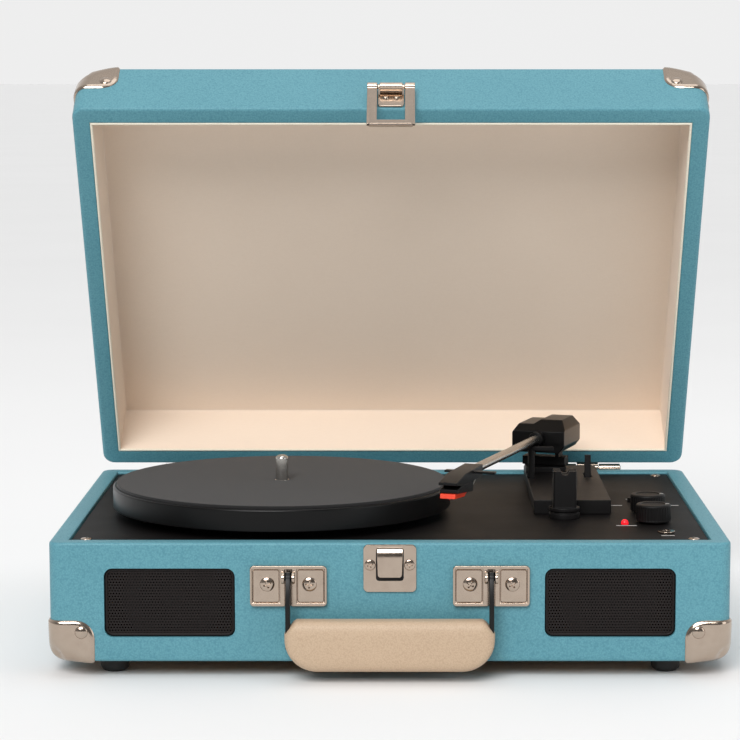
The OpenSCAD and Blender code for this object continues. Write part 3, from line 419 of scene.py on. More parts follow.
def eased(name, finish, slot_name, width=0.3, sharp=35, body="base"):
    """A piece cut to a CAD node's shape, with its sharp edges worn round."""
    bm = bmesh.new()
    bm.from_mesh(frame["nodes"][name].data)
    bmesh.ops.remove_doubles(bm, verts=bm.verts[:], dist=1e-6)
    bmesh.ops.dissolve_limit(bm, angle_limit=math.radians(0.5), verts=bm.verts[:], edges=bm.edges[:])
    return piece(name + "_finished", bm, finish, body, slot_name, name, bevel=width, sharp=sharp)


fibreboard = plain("fibreboard", paint(171, 138, 96), paint(146, 114, 77), 0.8, 1.2, 0.06)
zinc_steel = plain("zinc_steel", paint(196, 198, 201), paint(170, 173, 178), 0.34, 5, 0.004, 1.0)
circuit_green = plain("circuit_green", paint(28, 92, 48), paint(20, 76, 40), 0.35, 3, 0.02)
cone_paper = plain("cone_paper", paint(46, 44, 43), paint(34, 33, 32), 0.85, 1.0, 0.08)
turned_brass = plain("turned_brass", paint(206, 172, 104), paint(190, 154, 84), 0.25, 3, 0.004, 1.0)
belt_rubber = plain("belt_rubber", paint(24, 24, 24), paint(34, 34, 34), 0.7, 2, 0.02)
carried(["glue_blocks", "bottom_panel"], fibreboard)
# A dark finish: the black paint of the speakers' frames, and painted shade on the plate behind the
# catch's window.
dark_steel_and_painted_shade = plain("dark_steel_and_painted_shade", paint(24, 22, 21), paint(18, 17, 17), 0.6, 5, 0.004, 0.3)
carried(["motor", "control_pots"], zinc_steel)
carried(["speaker_frames"], dark_steel_and_painted_shade)
carried(["amplifier_board"], circuit_green)
carried(["speaker_cones"], cone_paper)
carried(["spindle_bearing", "motor_pulley"], turned_brass)
carried(["drive_belt"], belt_rubber)
eased("underside_screws", zinc_steel, "zinc_steel", 0.2)

# ---- Feet ----
# Four moulded rubber feet, screwed up through the bottom board; their lower edges are well rounded.

FOOT_X, FOOT_Y, FOOT_R, FOOT_H = HALF_W - 32, HALF_D - 21, 7.6, 9


def lathe(profile, x=0, y=0, z=0, steps=48, wave=None):
    """Turns (radius, height) pairs round an upright axis; a radius of 0 closes the end.
    wave(angle, height) may change the radius."""
    loops = []
    for radius, height in profile:
        loop = []
        for i in range(steps):
            a = 2 * math.pi * i / steps
            r = radius + (wave(a, height) if wave and radius else 0)
            loop.append((x + r * math.cos(a), y + r * math.sin(a), z + height))
        loops.append(loop)
    ends_open = profile[0][0] or profile[-1][0]
    return loft(loops, closed=bool(ends_open), cap=False)


def arc(x, y, radius, start, end, steps=5):
    """Points of a round edge, from one angle in degrees to another."""
    angles = [math.radians(start + (end - start) * i / steps) for i in range(steps + 1)]
    return [(x + radius * math.cos(a), y + radius * math.sin(a)) for a in angles]


def joined(parts):
    """One mesh from several."""
    whole = bmesh.new()
    for part in parts:
        data = bpy.data.meshes.new("part")
        part.to_mesh(data)
        part.free()
        whole.from_mesh(data)
        bpy.data.meshes.remove(data)
    return whole


foot_profile = [(1.5, FOOT_H), (FOOT_R, FOOT_H), (FOOT_R, 4)]
foot_profile += arc(FOOT_R - 3.2, 3.2, 3.2, 0, -90, 6)
foot_profile += [(3.6, 0), (3.6, FOOT_H / 2), (1.5, FOOT_H / 2)]
foot_rubber = plain("foot_rubber", paint(26, 26, 26), paint(36, 36, 36), 0.62, 2, 0.03)
piece("rubber_feet", joined([lathe(foot_profile, sx * FOOT_X, sy * FOOT_Y)
                             for sx in (-1, 1) for sy in (-1, 1)]),
      foot_rubber, "base", "rubber", "feet")

# ---- Speakers' grilles ----
# Thin steel sheet with staggered round holes, painted black, in a pressed tray that is pushed
# through each window from inside and held by its flange.

HOLE_PITCH, HOLE_R = 1.5, 0.46
HOLE_ANGLES = (225, 247, 270, 292, 315, 0, 45, 67, 90, 112, 135, 180)
SHEET_T = 0.6
GRILLE_Y = -HALF_D + 1.7


def perforated(width, height):
    """Sheet of cells in staggered rows, each with a round hole. y runs through the sheet, and a
    hole's points are joined to the six points of its cell's rim."""
    bm = bmesh.new()
    rows = int(height / HOLE_PITCH)
    columns = int(width / HOLE_PITCH)
    for face_y in (0.0, SHEET_T):
        for row in range(rows):
            z = (row - (rows - 1) / 2) * HOLE_PITCH
            for column in range(columns - row % 2):
                x = (column - (columns - 1) / 2 + (0.5 if row % 2 else 0)) * HOLE_PITCH
                h = HOLE_PITCH / 2
                rim = [(-h, -h), (0, -h), (h, -h), (h, h), (0, h), (-h, h)]
                outer = [bm.verts.new((x + u, face_y, z + v)) for u, v in rim]
                hole = [bm.verts.new((x + HOLE_R * math.cos(a), face_y, z + HOLE_R * math.sin(a)))
                        for a in map(math.radians, HOLE_ANGLES)]
                for i in range(6):
                    j = (i + 1) % 6
                    bm.faces.new((outer[i], outer[j], hole[2 * j], hole[2 * i + 1], hole[2 * i]))
    bmesh.ops.remove_doubles(bm, verts=bm.verts[:], dist=1e-4)
    across = {(round(v.co.x, 3), round(v.co.z, 3)): v for v in bm.verts if v.co.y > 0}
    for edge in [e for e in bm.edges if e.is_boundary and e.verts[0].co.y == 0]:
        first, second = edge.verts
        bm.faces.new((first, second, across[round(second.co.x, 3), round(second.co.z, 3)],
                      across[round(first.co.x, 3), round(first.co.z, 3)]))
    bmesh.ops.recalc_face_normals(bm, faces=bm.faces[:])
    return bm


def grille_tray(x):
    """The tray's frame: a rounded bead in front, a wall through the window, and the flange."""
    loops = []
    sections = [(-1.9, GRILLE_Y + 0.5), (-1.5, GRILLE_Y + 0.1), (-1.1, GRILLE_Y),
                (-0.6, GRILLE_Y + 0.1), (-0.12, GRILLE_Y + 0.5), (-0.12, -HALF_D + WALL + 0.1),
                (2.4, -HALF_D + WALL + 0.1), (2.4, -HALF_D + WALL + 1.4),
                (-1.2, -HALF_D + WALL + 1.4), (-1.2, GRILLE_Y + 1.3), (-1.9, GRILLE_Y + 1.3)]
    for grow, y in sections:
        outline = round_rectangle(SPEAKER_W + 2 * grow, SPEAKER_H + 2 * grow, SPEAKER_R + grow)
        loops.append([(x + u, y, SPEAKER_Z + v) for u, v in outline])
    return loft(loops, closed=True)


grille_black = plain("grille_black", paint(27, 19, 17), paint(19, 14, 13), 0.55, 2, 0.02,
                     Specular_Ior_Level=0.25)
sheets = []
for side in (-1, 1):
    sheet_mesh = perforated(SPEAKER_W - 1.6, SPEAKER_H - 1.6)
    for vert in sheet_mesh.verts:
        vert.co = at(side * SPEAKER_X + vert.co.x, GRILLE_Y + 0.55 + vert.co.y,
                     SPEAKER_Z + vert.co.z)
    sheets.append(sheet_mesh)
piece("grille_sheets", joined(sheets), grille_black, "base", "grille_black", sharp=40)
piece("grille_trays", joined([grille_tray(side * SPEAKER_X) for side in (-1, 1)]), grille_black,
      "base", "grille_black", "speaker_grilles", sharp=50)

# ---- Corner caps and rivets ----
# Pressed steel caps, nickel plated, over the four lower corners of the base and the four upper
# ones of the lid. Each covers three faces and is held by domed rivets.


def joint(name):
    return next(j for j in frame["joints"] if j["name"] == name)


hinge_place = Vector(joint("lid_hinge")["pos_m"])
LID_OPEN = math.radians(59)
lid_turn = (Matrix.Translation(hinge_place) @ Matrix.Rotation(-LID_OPEN, 4, "X")
            @ Matrix.Translation(-hinge_place))
CAP_T = 1.2
CAP_LEG, CAP_RISE, CAP_ROUND = 24, 22, 10


def cap_point(u, v, leg, rise):
    """A place on one face of a cap; the far corner of the face is an arc."""
    a, b = u * leg, v * rise
    over = a - (leg - CAP_ROUND), b - (rise - CAP_ROUND)
    if min(over) > 0:
        scale = max(over) / math.hypot(*over)
        a = leg - CAP_ROUND + over[0] * scale
        b = rise - CAP_ROUND + over[1] * scale
    return a, b


def corner_cap(sx, sy, ball_z, up):
    """Three grids, each over one face, laid onto the ball corner; every point is made twice,
    for the inside and the outside of the sheet."""
    bm = bmesh.new()
    steps = 15
    for face in range(3):
        grid = {}
        for i in range(steps + 1):
            for j in range(steps + 1):
                u, v = i / steps, j / steps
                if face == 0:
                    a, c = cap_point(u, v, CAP_LEG, CAP_RISE)
                    b = 0
                elif face == 1:
                    b, c = cap_point(u, v, CAP_LEG, CAP_RISE)
                    a = 0
                else:
                    a, b = cap_point(u, v, CAP_LEG, CAP_LEG)
                    c = 0
                sheet = []
                for grow in (0.05, CAP_T):
                    x = sx * (HALF_W + grow - a)
                    y = sy * (HALF_D + grow - b)
                    z = ball_z - up * (grow - c)
                    sheet.append(bm.verts.new(at(*soften(x, y, z, ball_z, up, grow))))
                grid[i, j] = sheet
        for i in range(steps):
            for j in range(steps):
                for k in (0, 1):
                    bm.faces.new([grid[i, j][k], grid[i + 1, j][k], grid[i + 1, j + 1][k],
                                  grid[i, j + 1][k]])
        for i in range(steps):
            for first, second in (((i, steps), (i + 1, steps)), ((steps, i), (steps, i + 1))):
                bm.faces.new([grid[first][0], grid[second][0], grid[second][1], grid[first][1]])
    bmesh.ops.remove_doubles(bm, verts=bm.verts[:], dist=2e-5)
    bmesh.ops.recalc_face_normals(bm, faces=bm.faces[:])
    return bm


def rivet(x, y, z, outward, radius=3.4, height=1.3):
    """A domed head standing on a face whose outward direction is given."""
    dome = [(0, height)] + [(radius * math.sin(math.radians(a)), height * math.cos(math.radians(a)))
                            for a in (22, 42, 60, 75, 86)] + [(radius, -0.2), (0, -0.2)]
    bm = lathe(dome, 0, 0, 0, 24)
    stand = Vector((0, 0, 1)).rotation_difference(Vector(outward)).to_matrix().to_4x4()
    bmesh.ops.transform(bm, verts=bm.verts[:], matrix=Matrix.Translation(at(x, y, z)) @ stand
                        @ Matrix.Translation(-at(0, 0, 0)))
    return bm


nickel = plain("nickel", paint(190, 174, 159), paint(176, 159, 144), 0.17, 5, 0.0, 1.0)
nickel.relief(nickel.cloud(6, 1), 0.12, 0.5)
RIVET_IN = 17
HINGE_X, HINGE_W, LEAF_T, HINGE_RIVET_IN = 120, 40, 1.2, 12


def cap_rivets(z):
    found = []
    for sx in (-1, 1):
        for sy in (-1, 1):
            found.append(rivet(sx * (HALF_W - RIVET_IN), sy * (HALF_D + CAP_T), z, (0, sy, 0)))
            found.append(rivet(sx * (HALF_W + CAP_T), sy * (HALF_D - RIVET_IN), z, (sx, 0, 0)))
    return found


def hinge_rivets(z):
    return [rivet(side * HINGE_X + end * HINGE_W / 3, HALF_D + LEAF_T, z, (0, 1, 0), 2.6, 1.1)
            for side in (-1, 1) for end in (-1, 1)]


four = [(sx, sy) for sx in (-1, 1) for sy in (-1, 1)]
piece("base_caps", joined([corner_cap(sx, sy, BASE_LOW, 1) for sx, sy in four]), nickel, "base",
      "nickel", "base_corners", sharp=60, bevel=0.25)
piece("lid_caps", joined([corner_cap(sx, sy, LID_TOP, -1) for sx, sy in four]), nickel, "lid",
      "nickel", "lid_corners", sharp=60, bevel=0.25, turn=lid_turn)
CAP_RIVET_Z = 15.8
piece("base_rivet_heads", joined(cap_rivets(BASE_LOW + CAP_RIVET_Z) + hinge_rivets(RIM - HINGE_RIVET_IN)),
      nickel, "base", "nickel", "base_rivets")
piece("lid_rivet_heads",
      joined(cap_rivets(LID_TOP - CAP_RIVET_Z) + hinge_rivets(LID_LOW + HINGE_RIVET_IN)),
      nickel, "lid", "nickel", "lid_rivets", turn=lid_turn)

# ---- Hinges, catch, latch and handle brackets ----
# Stamped steel, nickel plated. Cross-headed screws hold the brackets and the catch; the hinges
# and the latch's plate are riveted. The bail hangs on a pin and hooks under the catch's tongue.

for name in ("hinge_base_leaves", "handle_brackets"):
    eased(name, nickel, "nickel", 0.28)
PLATE_T = 1.2
PLATE_Y = -HALF_D - PLATE_T
CATCH_W, CATCH_H, CATCH_R, CATCH_Z = 27.6, 25, 2.5, 58.7
CATCH_WINDOW_W, CATCH_WINDOW_H, CATCH_WINDOW_R, CATCH_WINDOW_Z = 14.5, 17.6, 1.6, 60.9
catch_loops = [[(u, y, CATCH_Z + v) for u, v in
                round_rectangle(CATCH_W - 2 * less, CATCH_H - 2 * less, CATCH_R - less)]
               for less, y in ((0, -HALF_D), (0, PLATE_Y + 0.3), (0.1, PLATE_Y + 0.08), (0.35, PLATE_Y))]
catch_cut = [(round_rectangle(CATCH_WINDOW_W, CATCH_WINDOW_H, CATCH_WINDOW_R, 3), 0, CATCH_WINDOW_Z,
              PLATE_Y - 1, -HALF_D + 1)]
piece("catch_plate_pressed", cut_windows(loft(catch_loops), catch_cut), nickel, "base", "nickel",
      "catch_plate", sharp=40)
TONGUE_T, TONGUE_END_Z = 1.1, 53
TONGUE = [(-0.2, 70.6, 6.8), (-1.2, 69.9, 6.8), (-2.3, 68.6, 6.75), (-3.0, 66.6, 6.7),
          (-3.2, 64, 6.6), (-3.2, 58, 6.4), (-3.2, 55.6, 6.3), (-3.2, 54.7, 6.0), (-3.2, 54.1, 5.2)]
tongue_loops = []
for (y0, z0, half), (y1, z1, _) in zip(TONGUE, TONGUE[1:] + [(TONGUE[-1][0], TONGUE_END_Z, 0)]):
    run = math.hypot(y1 - y0, z1 - z0)
    in_y, in_z = -(z1 - z0) / run, (y1 - y0) / run
    tongue_loops.append([(side * half, -HALF_D + y0 + in_y * deep, z0 + in_z * deep)
                         for side, deep in ((-1, 0), (1, 0), (1, TONGUE_T), (-1, TONGUE_T))])
piece("catch_tongue", loft(tongue_loops), nickel, "base", "nickel", sharp=30, bevel=0.25)
# A thin dark plate set just behind the catch's window: painted shade, standing in for the shadow in the
# gap behind the tongue.
window_shade_plate = loft([[(u, y, CATCH_WINDOW_Z + v) for u, v in
                 round_rectangle(CATCH_WINDOW_W - 0.1, CATCH_WINDOW_H - 0.1, CATCH_WINDOW_R, 3)]
                for y in (-HALF_D - 0.02, -HALF_D - 0.25)])
piece("catch_window_painted_shade", window_shade_plate, dark_steel_and_painted_shade, "base", "nickel")
BRACKET_X = 52.8
PANEL_X, PANEL_Z, PANEL_W, PANEL_H, PANEL_T = 11.6, 49.5, 13.7, 17.2, 0.7
panels = []
for side in (-1, 1):
    for end in (-1, 1):
        panels.append(loft([[(side * BRACKET_X + end * PANEL_X + u, PLATE_Y - out, PANEL_Z + v)
                             for u, v in round_rectangle(PANEL_W - 2 * less, PANEL_H - 2 * less, 0.9)]
                            for less, out in ((0, 0), (0, PANEL_T - 0.3), (0.3, PANEL_T))]))
piece("bracket_panels", joined(panels), nickel, "base", "nickel", sharp=30)


def cross_screw(radius, height):
    """A domed screw head at the frame's origin, with a cross recess that tapers inwards."""
    dome = [(0, height)] + [(radius * math.sin(math.radians(a)), 0.3 * height + 0.7 * height
                             * math.cos(math.radians(a))) for a in (15, 30, 45, 60, 75, 87)]
    head = bpy.data.objects.new("head", bpy.data.meshes.new("head"))
    bm = lathe(dome + [(radius, 0), (0, 0)], 0, -case_middle_y / MM, 0, 32)
    bm.to_mesh(head.data)
    bm.free()
    bpy.context.scene.collection.objects.link(head)
    for turn in (0, math.pi / 2):
        slot_loops = []
        for half_l, half_w, z in ((radius * 0.34, radius * 0.07, height * 0.25),
                                  (radius * 0.62, radius * 0.14, height + 0.3)):
            slot_loops.append([(u * half_l, v * half_w - case_middle_y / MM, z) for u, v in
                               ((-1, -1), (1, -1), (1, 1), (-1, 1))])
        bar = loft(slot_loops)
        bmesh.ops.rotate(bar, verts=bar.verts[:], cent=(0, 0, 0), matrix=Matrix.Rotation(turn, 3, "Z"))
        tool = bpy.data.objects.new("tool", bpy.data.meshes.new("tool"))
        bar.to_mesh(tool.data)
        bar.free()
        bpy.context.scene.collection.objects.link(tool)
        cut = head.modifiers.new("cut", "BOOLEAN")
        cut.object, cut.operation, cut.solver = tool, "DIFFERENCE", "EXACT"
        head.data = solid_of(head)
        head.modifiers.clear()
        bpy.data.objects.remove(tool)
    data = head.data
    bpy.data.objects.remove(head)
    return data


def screws(places, radius, height, outward):
    """Screw heads standing on a face at those places, each turned a little differently."""
    head = cross_screw(radius, height)
    stand = Vector((0, 0, 1)).rotation_difference(Vector(outward)).to_matrix().to_4x4()
    whole = bmesh.new()
    for i, place in enumerate(places):
        one = head.copy()
        one.transform(Matrix.Translation(at(*place)) @ stand @ Matrix.Rotation(0.4 + 1.1 * i, 4, "Z"))
        whole.from_mesh(one)
        bpy.data.meshes.remove(one)
    return whole


BRACKET_SCREW_X, BRACKET_SCREW_Z = 11, 50.5
CATCH_SCREW_X, CATCH_SCREW_Z = 10.3, 60.6
bracket_places = [(side * BRACKET_X + end * BRACKET_SCREW_X, PLATE_Y, BRACKET_SCREW_Z)
                  for side in (-1, 1) for end in (-1, 1)]
piece("bracket_screw_heads", screws(bracket_places, 3.9, 1.8, (0, -1, 0)), nickel, "base", "nickel",
      "bracket_screws", sharp=32)
catch_places = [(side * CATCH_SCREW_X, PLATE_Y, CATCH_SCREW_Z) for side in (-1, 1)]
piece("catch_screw_heads", screws(catch_places, 2.9, 0.9, (0, -1, 0)), nickel, "base", "nickel",
      "catch_screws", sharp=32)
for name in ("hinge_lid_leaves", "latch_plate", "latch_rivets"):
    eased(name, nickel, "nickel", 0.25, body="lid")
eased("hinge_pins", zinc_steel, "zinc_steel", 0.2, body="lid")
eased("latch_bail", nickel, "nickel", 0.35, body="latch")

# ---- Handle ----
# A steel band, painted black, runs through a padded grip covered in cream leatherette. At rest
# the grip hangs flat in front of the base.

handle_cream = leatherette("handle_cream", paint(192, 168, 142), paint(178, 154, 129), 0.4, 0.7,
                           0.035)
band_black = plain("band_black", paint(9, 9, 9), paint(13, 12, 12), 0.4, 3, 0.01,
                   Specular_Ior_Level=0.3)
eased("handle_straps", band_black, "grille_black", 0.3, body="handle")
GRIP_HALF_W, GRIP_LOW, GRIP_TOP, GRIP_HALF_D = 54.5, 6.4, 33.4, 7.5
GRIP_Y = -HALF_D - 10
GRIP_LOW_R = 17


def grip_station(x):
    """Points round the grip's cross-section at x: its lower corners are arcs, its upper ones are
    cut off, and it grows thinner towards its ends."""
    beyond = abs(x) - (GRIP_HALF_W - GRIP_LOW_R)
    low = GRIP_LOW
    if beyond > 0:
        low += GRIP_LOW_R - math.sqrt(max(GRIP_LOW_R ** 2 - beyond ** 2, 0))
    top = GRIP_TOP - max(0, abs(x) - (GRIP_HALF_W - 5.5)) * 1.25
    end = max(0, abs(x) - (GRIP_HALF_W - 6)) / 6
    depth = GRIP_HALF_D * (0.42 + 0.58 * math.sqrt(max(1 - end ** 2, 0)))
    height = max(top - low, 0.8) / 2
    middle = (top + low) / 2
    loop = []
    for i in range(40):
        a = 2 * math.pi * i / 40
        c, s = math.cos(a), math.sin(a)
        loop.append((x, GRIP_Y + depth * math.copysign(abs(c) ** 0.55, c),
                     middle + height * math.copysign(abs(s) ** 0.5, s)))
    return loop


grip_x = [GRIP_HALF_W * math.sin(math.radians(a)) for a in range(-90, 91, 4)]
grip = piece("padded_grip", loft([grip_station(x) for x in grip_x]), handle_cream, "handle",
             "cream_leatherette", "handle_grip", sharp=70)

# ---- Deck ----
# A black moulded plate that drops into the base, held by four screws. It carries printed marks,
# the 45 rpm adapter in its shallow pocket, the lamp and the headphone socket.


def moulded(name, colour, lighter, gloss, grain_mm=0.45, depth_mm=0.03, shine=0.22):
    """Injection-moulded plastic with an even spark-eroded texture."""
    finish = Finish(name, {"Specular IOR Level": shine})
    texture = finish.cloud(grain_mm, 3)
    smears = finish.cloud(30, 3)
    finish.feed("Base Color", finish.mix(smears, colour, lighter))
    finish.feed("Roughness", gloss + smears * 0.1 + texture * 0.08)
    finish.relief(texture, depth_mm, 0.5)
    return finish


deck_black = moulded("deck_black", paint(8, 6, 6), paint(13, 10, 10), 0.45, shine=0.12)
black_plastic = moulded("black_plastic", paint(11, 10, 10), paint(17, 15, 15), 0.4)
black_gloss = moulded("black_gloss", paint(7, 7, 7), paint(11, 10, 10), 0.22, 0.8, 0.01)
DECK_TOP = 70.5
DECK_SCREW_X, DECK_SCREW_Y = 160, 110
eased("deck_plate", deck_black, "deck_black", 0.35)
deck_places = [(sx * DECK_SCREW_X, sy * DECK_SCREW_Y, DECK_TOP) for sx in (-1, 1) for sy in (-1, 1)]
piece("deck_screw_heads", screws(deck_places, 3, 1.2, (0, 0, 1)), nickel, "base", "nickel",
      "deck_screws", sharp=32)
eased("record_adapter", black_plastic, "black_plastic", 0.3)
eased("jack_plate", black_plastic, "black_plastic", 0.25)
eased("rear_sockets", zinc_steel, "zinc_steel", 0.2)
eased("headphone_jack", nickel, "nickel", 0.2)
eased("arm_board", black_plastic, "black_plastic", 0.5)
lamp_red = Finish("lamp_red", {"Roughness": 0.25, "Emission Strength": 1.2})
lamp_red.feed("Base Color", lamp_red.mix(lamp_red.cloud(1.5), paint(225, 24, 34), paint(200, 16, 28)))
lamp_red.feed("Emission Color", lamp_red.mix(lamp_red.cloud(1.5), paint(235, 30, 40), paint(190, 12, 24)))
eased("power_led", lamp_red, "led_red", 0.2)

MARKS = [(127, 0, 8), (159, 0, 8), (128, -67, 11), (143.5, -40, 5), (143.5, -5.5, 5),
         (147.5, -98, 7), (137.8, 22, 6)]


def dash(x, y, length, width=1.2, thick=0.12):
    """A printed line on the deck, standing for small lettering."""
    return loft([[(x + u * length / 2, y + v * width / 2, DECK_TOP + h) for u, v in
                  ((-1, -1), (1, -1), (1, 1), (-1, 1))] for h in (-0.05, thick)])


printed_grey = plain("printed_grey", paint(188, 186, 184), paint(170, 168, 166), 0.6, 1.0, 0.01)
piece("printed_marks", joined([dash(*mark) for mark in MARKS]), printed_grey, "base", "deck_black")

# ---- Platter ----
# A moulded platter with a hub below for the belt, a felt mat glued on top, and a turned steel
# spindle that runs down into the brass bearing.

PLATTER_X, PLATTER_Y, PLATTER_LOW, PLATTER_R, PLATTER_TOP, MAT_T = -61, -20, 75, 94, 87, 1.6
SPINDLE_R, SPINDLE_LOW = 4, 49.5
BOSS_R, BOSS_LOW = 11, 73.4
HUB_R, HUB_LOW, HUB_T = 60.5, 76.5, 3
PLATTER_UNDER = 84
platter_profile = [(SPINDLE_R, BOSS_LOW), (BOSS_R, BOSS_LOW), (BOSS_R, PLATTER_UNDER),
                   (HUB_R - HUB_T, PLATTER_UNDER), (HUB_R - HUB_T, HUB_LOW), (HUB_R, HUB_LOW),
                   (HUB_R, PLATTER_UNDER), (PLATTER_R - 3, PLATTER_UNDER),
                   (PLATTER_R - 3, PLATTER_LOW + 0.3), (PLATTER_R - 2.7, PLATTER_LOW),
                   (PLATTER_R - 0.4, PLATTER_LOW), (PLATTER_R, PLATTER_LOW + 0.4)]
platter_profile += arc(PLATTER_R - 1.2, PLATTER_TOP - 1.2, 1.2, 0, 90)
platter_profile += [(SPINDLE_R, PLATTER_TOP)]
piece("turned_platter", lathe(platter_profile, PLATTER_X, PLATTER_Y, 0, 128),
      black_gloss, "platter", "black_gloss_plastic", "platter", sharp=30)
felt = plain("felt", paint(14, 13, 14), paint(24, 23, 24), 0.92, 0.5, 0.12, Sheen_Weight=0.12,
             Sheen_Roughness=0.5)
mat_profile = [(4.1, PLATTER_TOP), (PLATTER_R - 2, PLATTER_TOP)]
mat_profile += arc(PLATTER_R - 2.5, PLATTER_TOP + MAT_T - 0.5, 0.5, 0, 90, 3)
mat_profile += [(4.6, PLATTER_TOP + MAT_T), (4.1, PLATTER_TOP + MAT_T - 0.4)]
piece("felt_mat", lathe(mat_profile, PLATTER_X, PLATTER_Y, 0, 128), felt, "platter", "felt",
      "platter_mat", sharp=40)
spindle_steel = plain("spindle_steel", paint(214, 210, 204), paint(196, 192, 186), 0.18, 2, 0.002,
                      1.0)
MAT_TOP = PLATTER_TOP + MAT_T
spindle_profile = [(0, SPINDLE_LOW), (SPINDLE_R, SPINDLE_LOW), (SPINDLE_R, MAT_TOP),
                   (3.55, MAT_TOP + 0.01), (3.55, MAT_TOP + 12)]
spindle_profile += [(3.4, MAT_TOP + 12.5), (2.9, MAT_TOP + 13.3), (2.1, MAT_TOP + 13.8),
                    (1.1, MAT_TOP + 14), (0, MAT_TOP + 14)]
piece("turned_spindle", lathe(spindle_profile, PLATTER_X, PLATTER_Y), spindle_steel, "platter",
      "spindle_steel", "spindle", sharp=50)

# ---- Tonearm ----
# A moulded pivot block on a swivelling fork, an aluminium tube held in it by a collar, a headshell
# with a finger lift, and a cartridge with a red stylus holder and four thin leads behind it.

tube_aluminium = plain("tube_aluminium", paint(226, 223, 218), paint(208, 205, 200), 0.26, 4, 0.003,
                       1.0, stretch=(1, 0.2, 1))
stylus_red = Finish("stylus_red", {"Roughness": 0.28, "Coat Weight": 0.3})
stylus_red.feed("Base Color", stylus_red.mix(stylus_red.cloud(3), paint(246, 74, 30), paint(228, 48, 22)))
eased("arm_tower", black_plastic, "black_plastic", 0.4)
eased("arm_rest", black_plastic, "black_plastic", 0.35)
eased("arm_yoke", black_plastic, "black_plastic", 0.3, body="swivel")
eased("arm_block", black_gloss, "black_gloss_plastic", 0.6, body="tonearm", sharp=20)
eased("arm_pin", zinc_steel, "zinc_steel", 0.2, body="tonearm")
eased("arm_tube", tube_aluminium, "tube_aluminium", 0.15, body="tonearm", sharp=60)
eased("headshell", black_gloss, "black_gloss_plastic", 0.3, body="tonearm", sharp=20)
eased("cartridge", black_plastic, "black_plastic", 0.25, body="tonearm", sharp=20)
eased("stylus", stylus_red, "stylus_red", 0.12, body="tonearm", sharp=25)

PIVOT_X, PIVOT_Y, ARM_Z, ARM_L = 91.5, 81, 100, 190.5
tilt_axis = Vector(joint("arm_tilt")["axis"])
ARM_BEARING = math.atan2(-tilt_axis.x, tilt_axis.y)


def on_arm(along, side, z):
    """A place given along the arm from its pivot and across it."""
    c, s = math.cos(ARM_BEARING), math.sin(ARM_BEARING)
    return PIVOT_X + along * c - side * s, PIVOT_Y + along * s + side * c, z


def tube_along(points, radius, sides=8):
    """A round wire through the points."""
    places = [Vector(p) for p in points]
    loops = []
    for i, place in enumerate(places):
        ahead = (places[min(i + 1, len(places) - 1)] - places[max(i - 1, 0)]).normalized()
        across = ahead.cross(Vector((0, 0, 1)))
        across = across.normalized() if across.length > 0.01 else Vector((1, 0, 0))
        rise = across.cross(ahead)
        loops.append([place + radius * (math.cos(a) * across + math.sin(a) * rise)
                      for a in (2 * math.pi * k / sides for k in range(sides))])
    return loft(loops)


COLLAR_ALONG, COLLAR_R = (14, 19, 22.5), 4.3
collar = tube_along([on_arm(along, 0, ARM_Z) for along in COLLAR_ALONG], COLLAR_R, 32)
piece("tube_collar", collar, black_gloss, "tonearm", "black_gloss_plastic", bevel=0.5)
LEADS_START, LEAD_RUN, LEAD_R = ARM_L - 43.5, 16.3, 0.35
leads = []
for k, side in enumerate((-3, -1, 1, 3)):
    run = []
    for i in range(9):
        t = i / 8
        droop = math.sin(math.pi * t) * (1.2 + 0.5 * (k % 2))
        run.append(on_arm(LEADS_START + LEAD_RUN * t, side * (0.55 + 0.45 * t),
                          ARM_Z - 3.5 - 2.6 * t - droop))
    leads.append(tube_along(run, LEAD_R))
lead_silver = plain("lead_silver", paint(198, 196, 192), paint(176, 174, 170), 0.4, 2, 0.0, 0.6)
piece("cartridge_leads", joined(leads), lead_silver, "tonearm", "tube_aluminium", sharp=60)

# ---- Switches, cue lever and knobs ----
# Small black mouldings. The knobs are pressed onto the controls' shafts and have fine ribs for
# the fingers and a white pointer.

for name in ("speed_switch", "auto_stop_switch", "cue_lever", "cue_lift", "source_button"):
    eased(name, black_plastic, "black_plastic", 0.25, body=name)

KNOB_X, KNOB_R, KNOB_H, KNOB_LIFT = 143.5, 9.6, 9.5, 0.8
RIB_COUNT, RIB_DEPTH, RIBS_LOW, RIBS_HIGH = 36, 0.14, 1.2, 8.2


def ribs(angle, height):
    """How much the knob's radius changes there."""
    if not RIBS_LOW < height < RIBS_HIGH:
        return 0
    return RIB_DEPTH * math.cos(angle * RIB_COUNT) - RIB_DEPTH


knob_profile = [(0, -9), (3, -9), (3, 0), (KNOB_R - 0.5, 0), (KNOB_R, 0.5), (KNOB_R, 1.0)]
knob_profile += [(KNOB_R, 1.3), (KNOB_R, 4), (KNOB_R, 8.1), (KNOB_R, 8.3)]
knob_profile += arc(KNOB_R - 1.1, KNOB_H - 1.1, 1.1, 10, 90, 4)
knob_profile += [(KNOB_R - 2.6, KNOB_H), (KNOB_R - 3.2, KNOB_H - 0.5), (2, KNOB_H - 0.7),
                 (0, KNOB_H - 0.7)]
for name, y in (("volume_knob", -56), ("tone_knob", -21.5)):
    piece(name + "_ribbed", lathe(knob_profile, KNOB_X, y, DECK_TOP + KNOB_LIFT, 240, ribs),
          black_plastic, name, "black_plastic", name, sharp=30)
    pointer = loft([[(KNOB_X + u, y + v, DECK_TOP + KNOB_LIFT + KNOB_H - h) for u, v in
                     ((6.6, -0.5), (8.6, -0.5), (8.6, 0.5), (6.6, 0.5))] for h in (0.3, -0.08)])
    piece(name + "_pointer", pointer, printed_grey, name, "black_plastic")

# ---- Lid ----
# The same fibreboard box as the base, with a thin top board, wrapped in the same leatherette. Its
# inside is lined with cream cloth, with a cream cord glued round the rim.

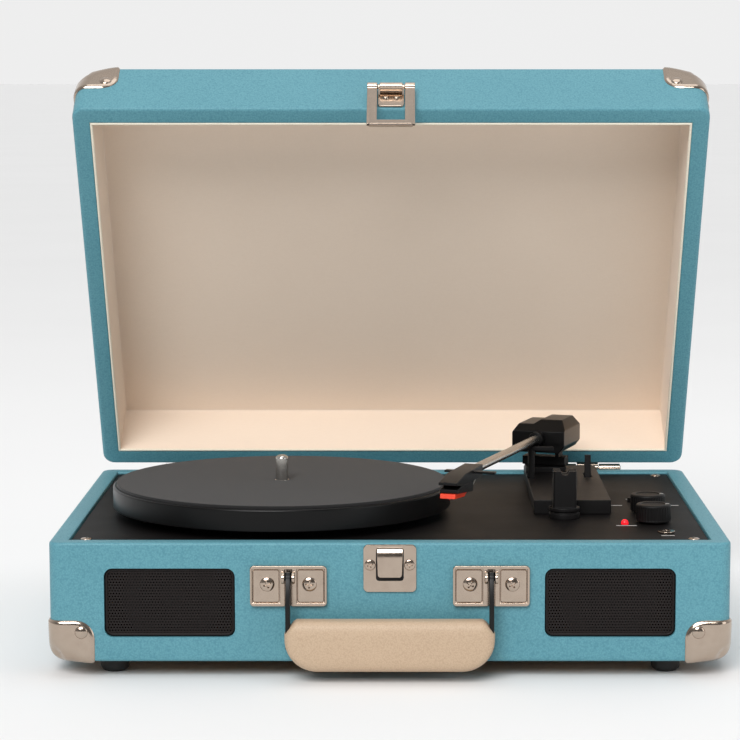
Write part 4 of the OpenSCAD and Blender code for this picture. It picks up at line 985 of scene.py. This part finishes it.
TOP_BOARD_T = 3
LID_INSIDE = LID_TOP - TOP_BOARD_T
lid_profile = [(WALL, LID_INSIDE), (WALL, LID_LOW + 1.2), (WALL - 0.4, LID_LOW + 0.35),
               (WALL - 1.2, LID_LOW), (2.0, LID_LOW), (0.95, LID_LOW + 0.28),
               (0.28, LID_LOW + 0.95), (0, LID_LOW + 2.0)]
lid_profile += [(0, LID_TOP - d) for d in LOWER]
lid_profile += [(d, LID_TOP) for d in NEAR]
piece("lid_box", box_shell(lid_profile, (LID_TOP, -1)), turquoise_leatherette, "lid",
      "turquoise_leatherette", "lid_frame", turn=lid_turn, sharp=32)


def lining_cloth():
    finish = Finish("cream_lining", {"Roughness": 0.8, "Specular IOR Level": 0.2,
                                     "Sheen Weight": 0.2})
    across = finish.cloud(0.9, 2, (0.25, 1, 1))
    along = finish.cloud(0.9, 2, (1, 1, 0.25))
    weave = across * 0.5 + along * 0.5
    patches = finish.cloud(40, 3)
    finish.feed("Base Color", finish.mix(weave * 0.6 + patches * 0.4, paint(240, 223, 205),
                                         paint(230, 211, 192)))
    finish.relief(weave, 0.06, 0.6)
    return finish


cream_lining = lining_cloth()
LINING_T = 0.8
lining_profile = [(WALL + 0.02, LID_INSIDE - 0.02), (WALL + 0.02, LID_LOW + 0.5),
                  (WALL + LINING_T, LID_LOW + 0.5), (WALL + LINING_T, LID_INSIDE - 3)]
lining_profile += [(WALL + LINING_T + 0.35, LID_INSIDE - LINING_T - 0.9),
                   (WALL + LINING_T + 1.2, LID_INSIDE - LINING_T)]
piece("lid_lining_cloth", box_shell(lining_profile), cream_lining, "lid", "cream_lining",
      "lid_lining", turn=lid_turn, sharp=50)
CORD_R = 0.75
cord_loops = []
for i in range(10):
    a = 2 * math.pi * i / 10
    inset = WALL + 0.5 + CORD_R * math.cos(a)
    z = LID_LOW + 0.7 + CORD_R * math.sin(a)
    cord_loops.append([(x, y, z) for x, y in rectangle(HALF_W - inset, HALF_D - inset)])
cream_cord = leatherette("cream_cord", paint(240, 232, 214), paint(226, 216, 196), 0.5, 0.5, 0.02)
piece("rim_cord", loft(cord_loops, closed=True), cream_cord, "lid", "cream_lining", turn=lid_turn,
      sharp=60)
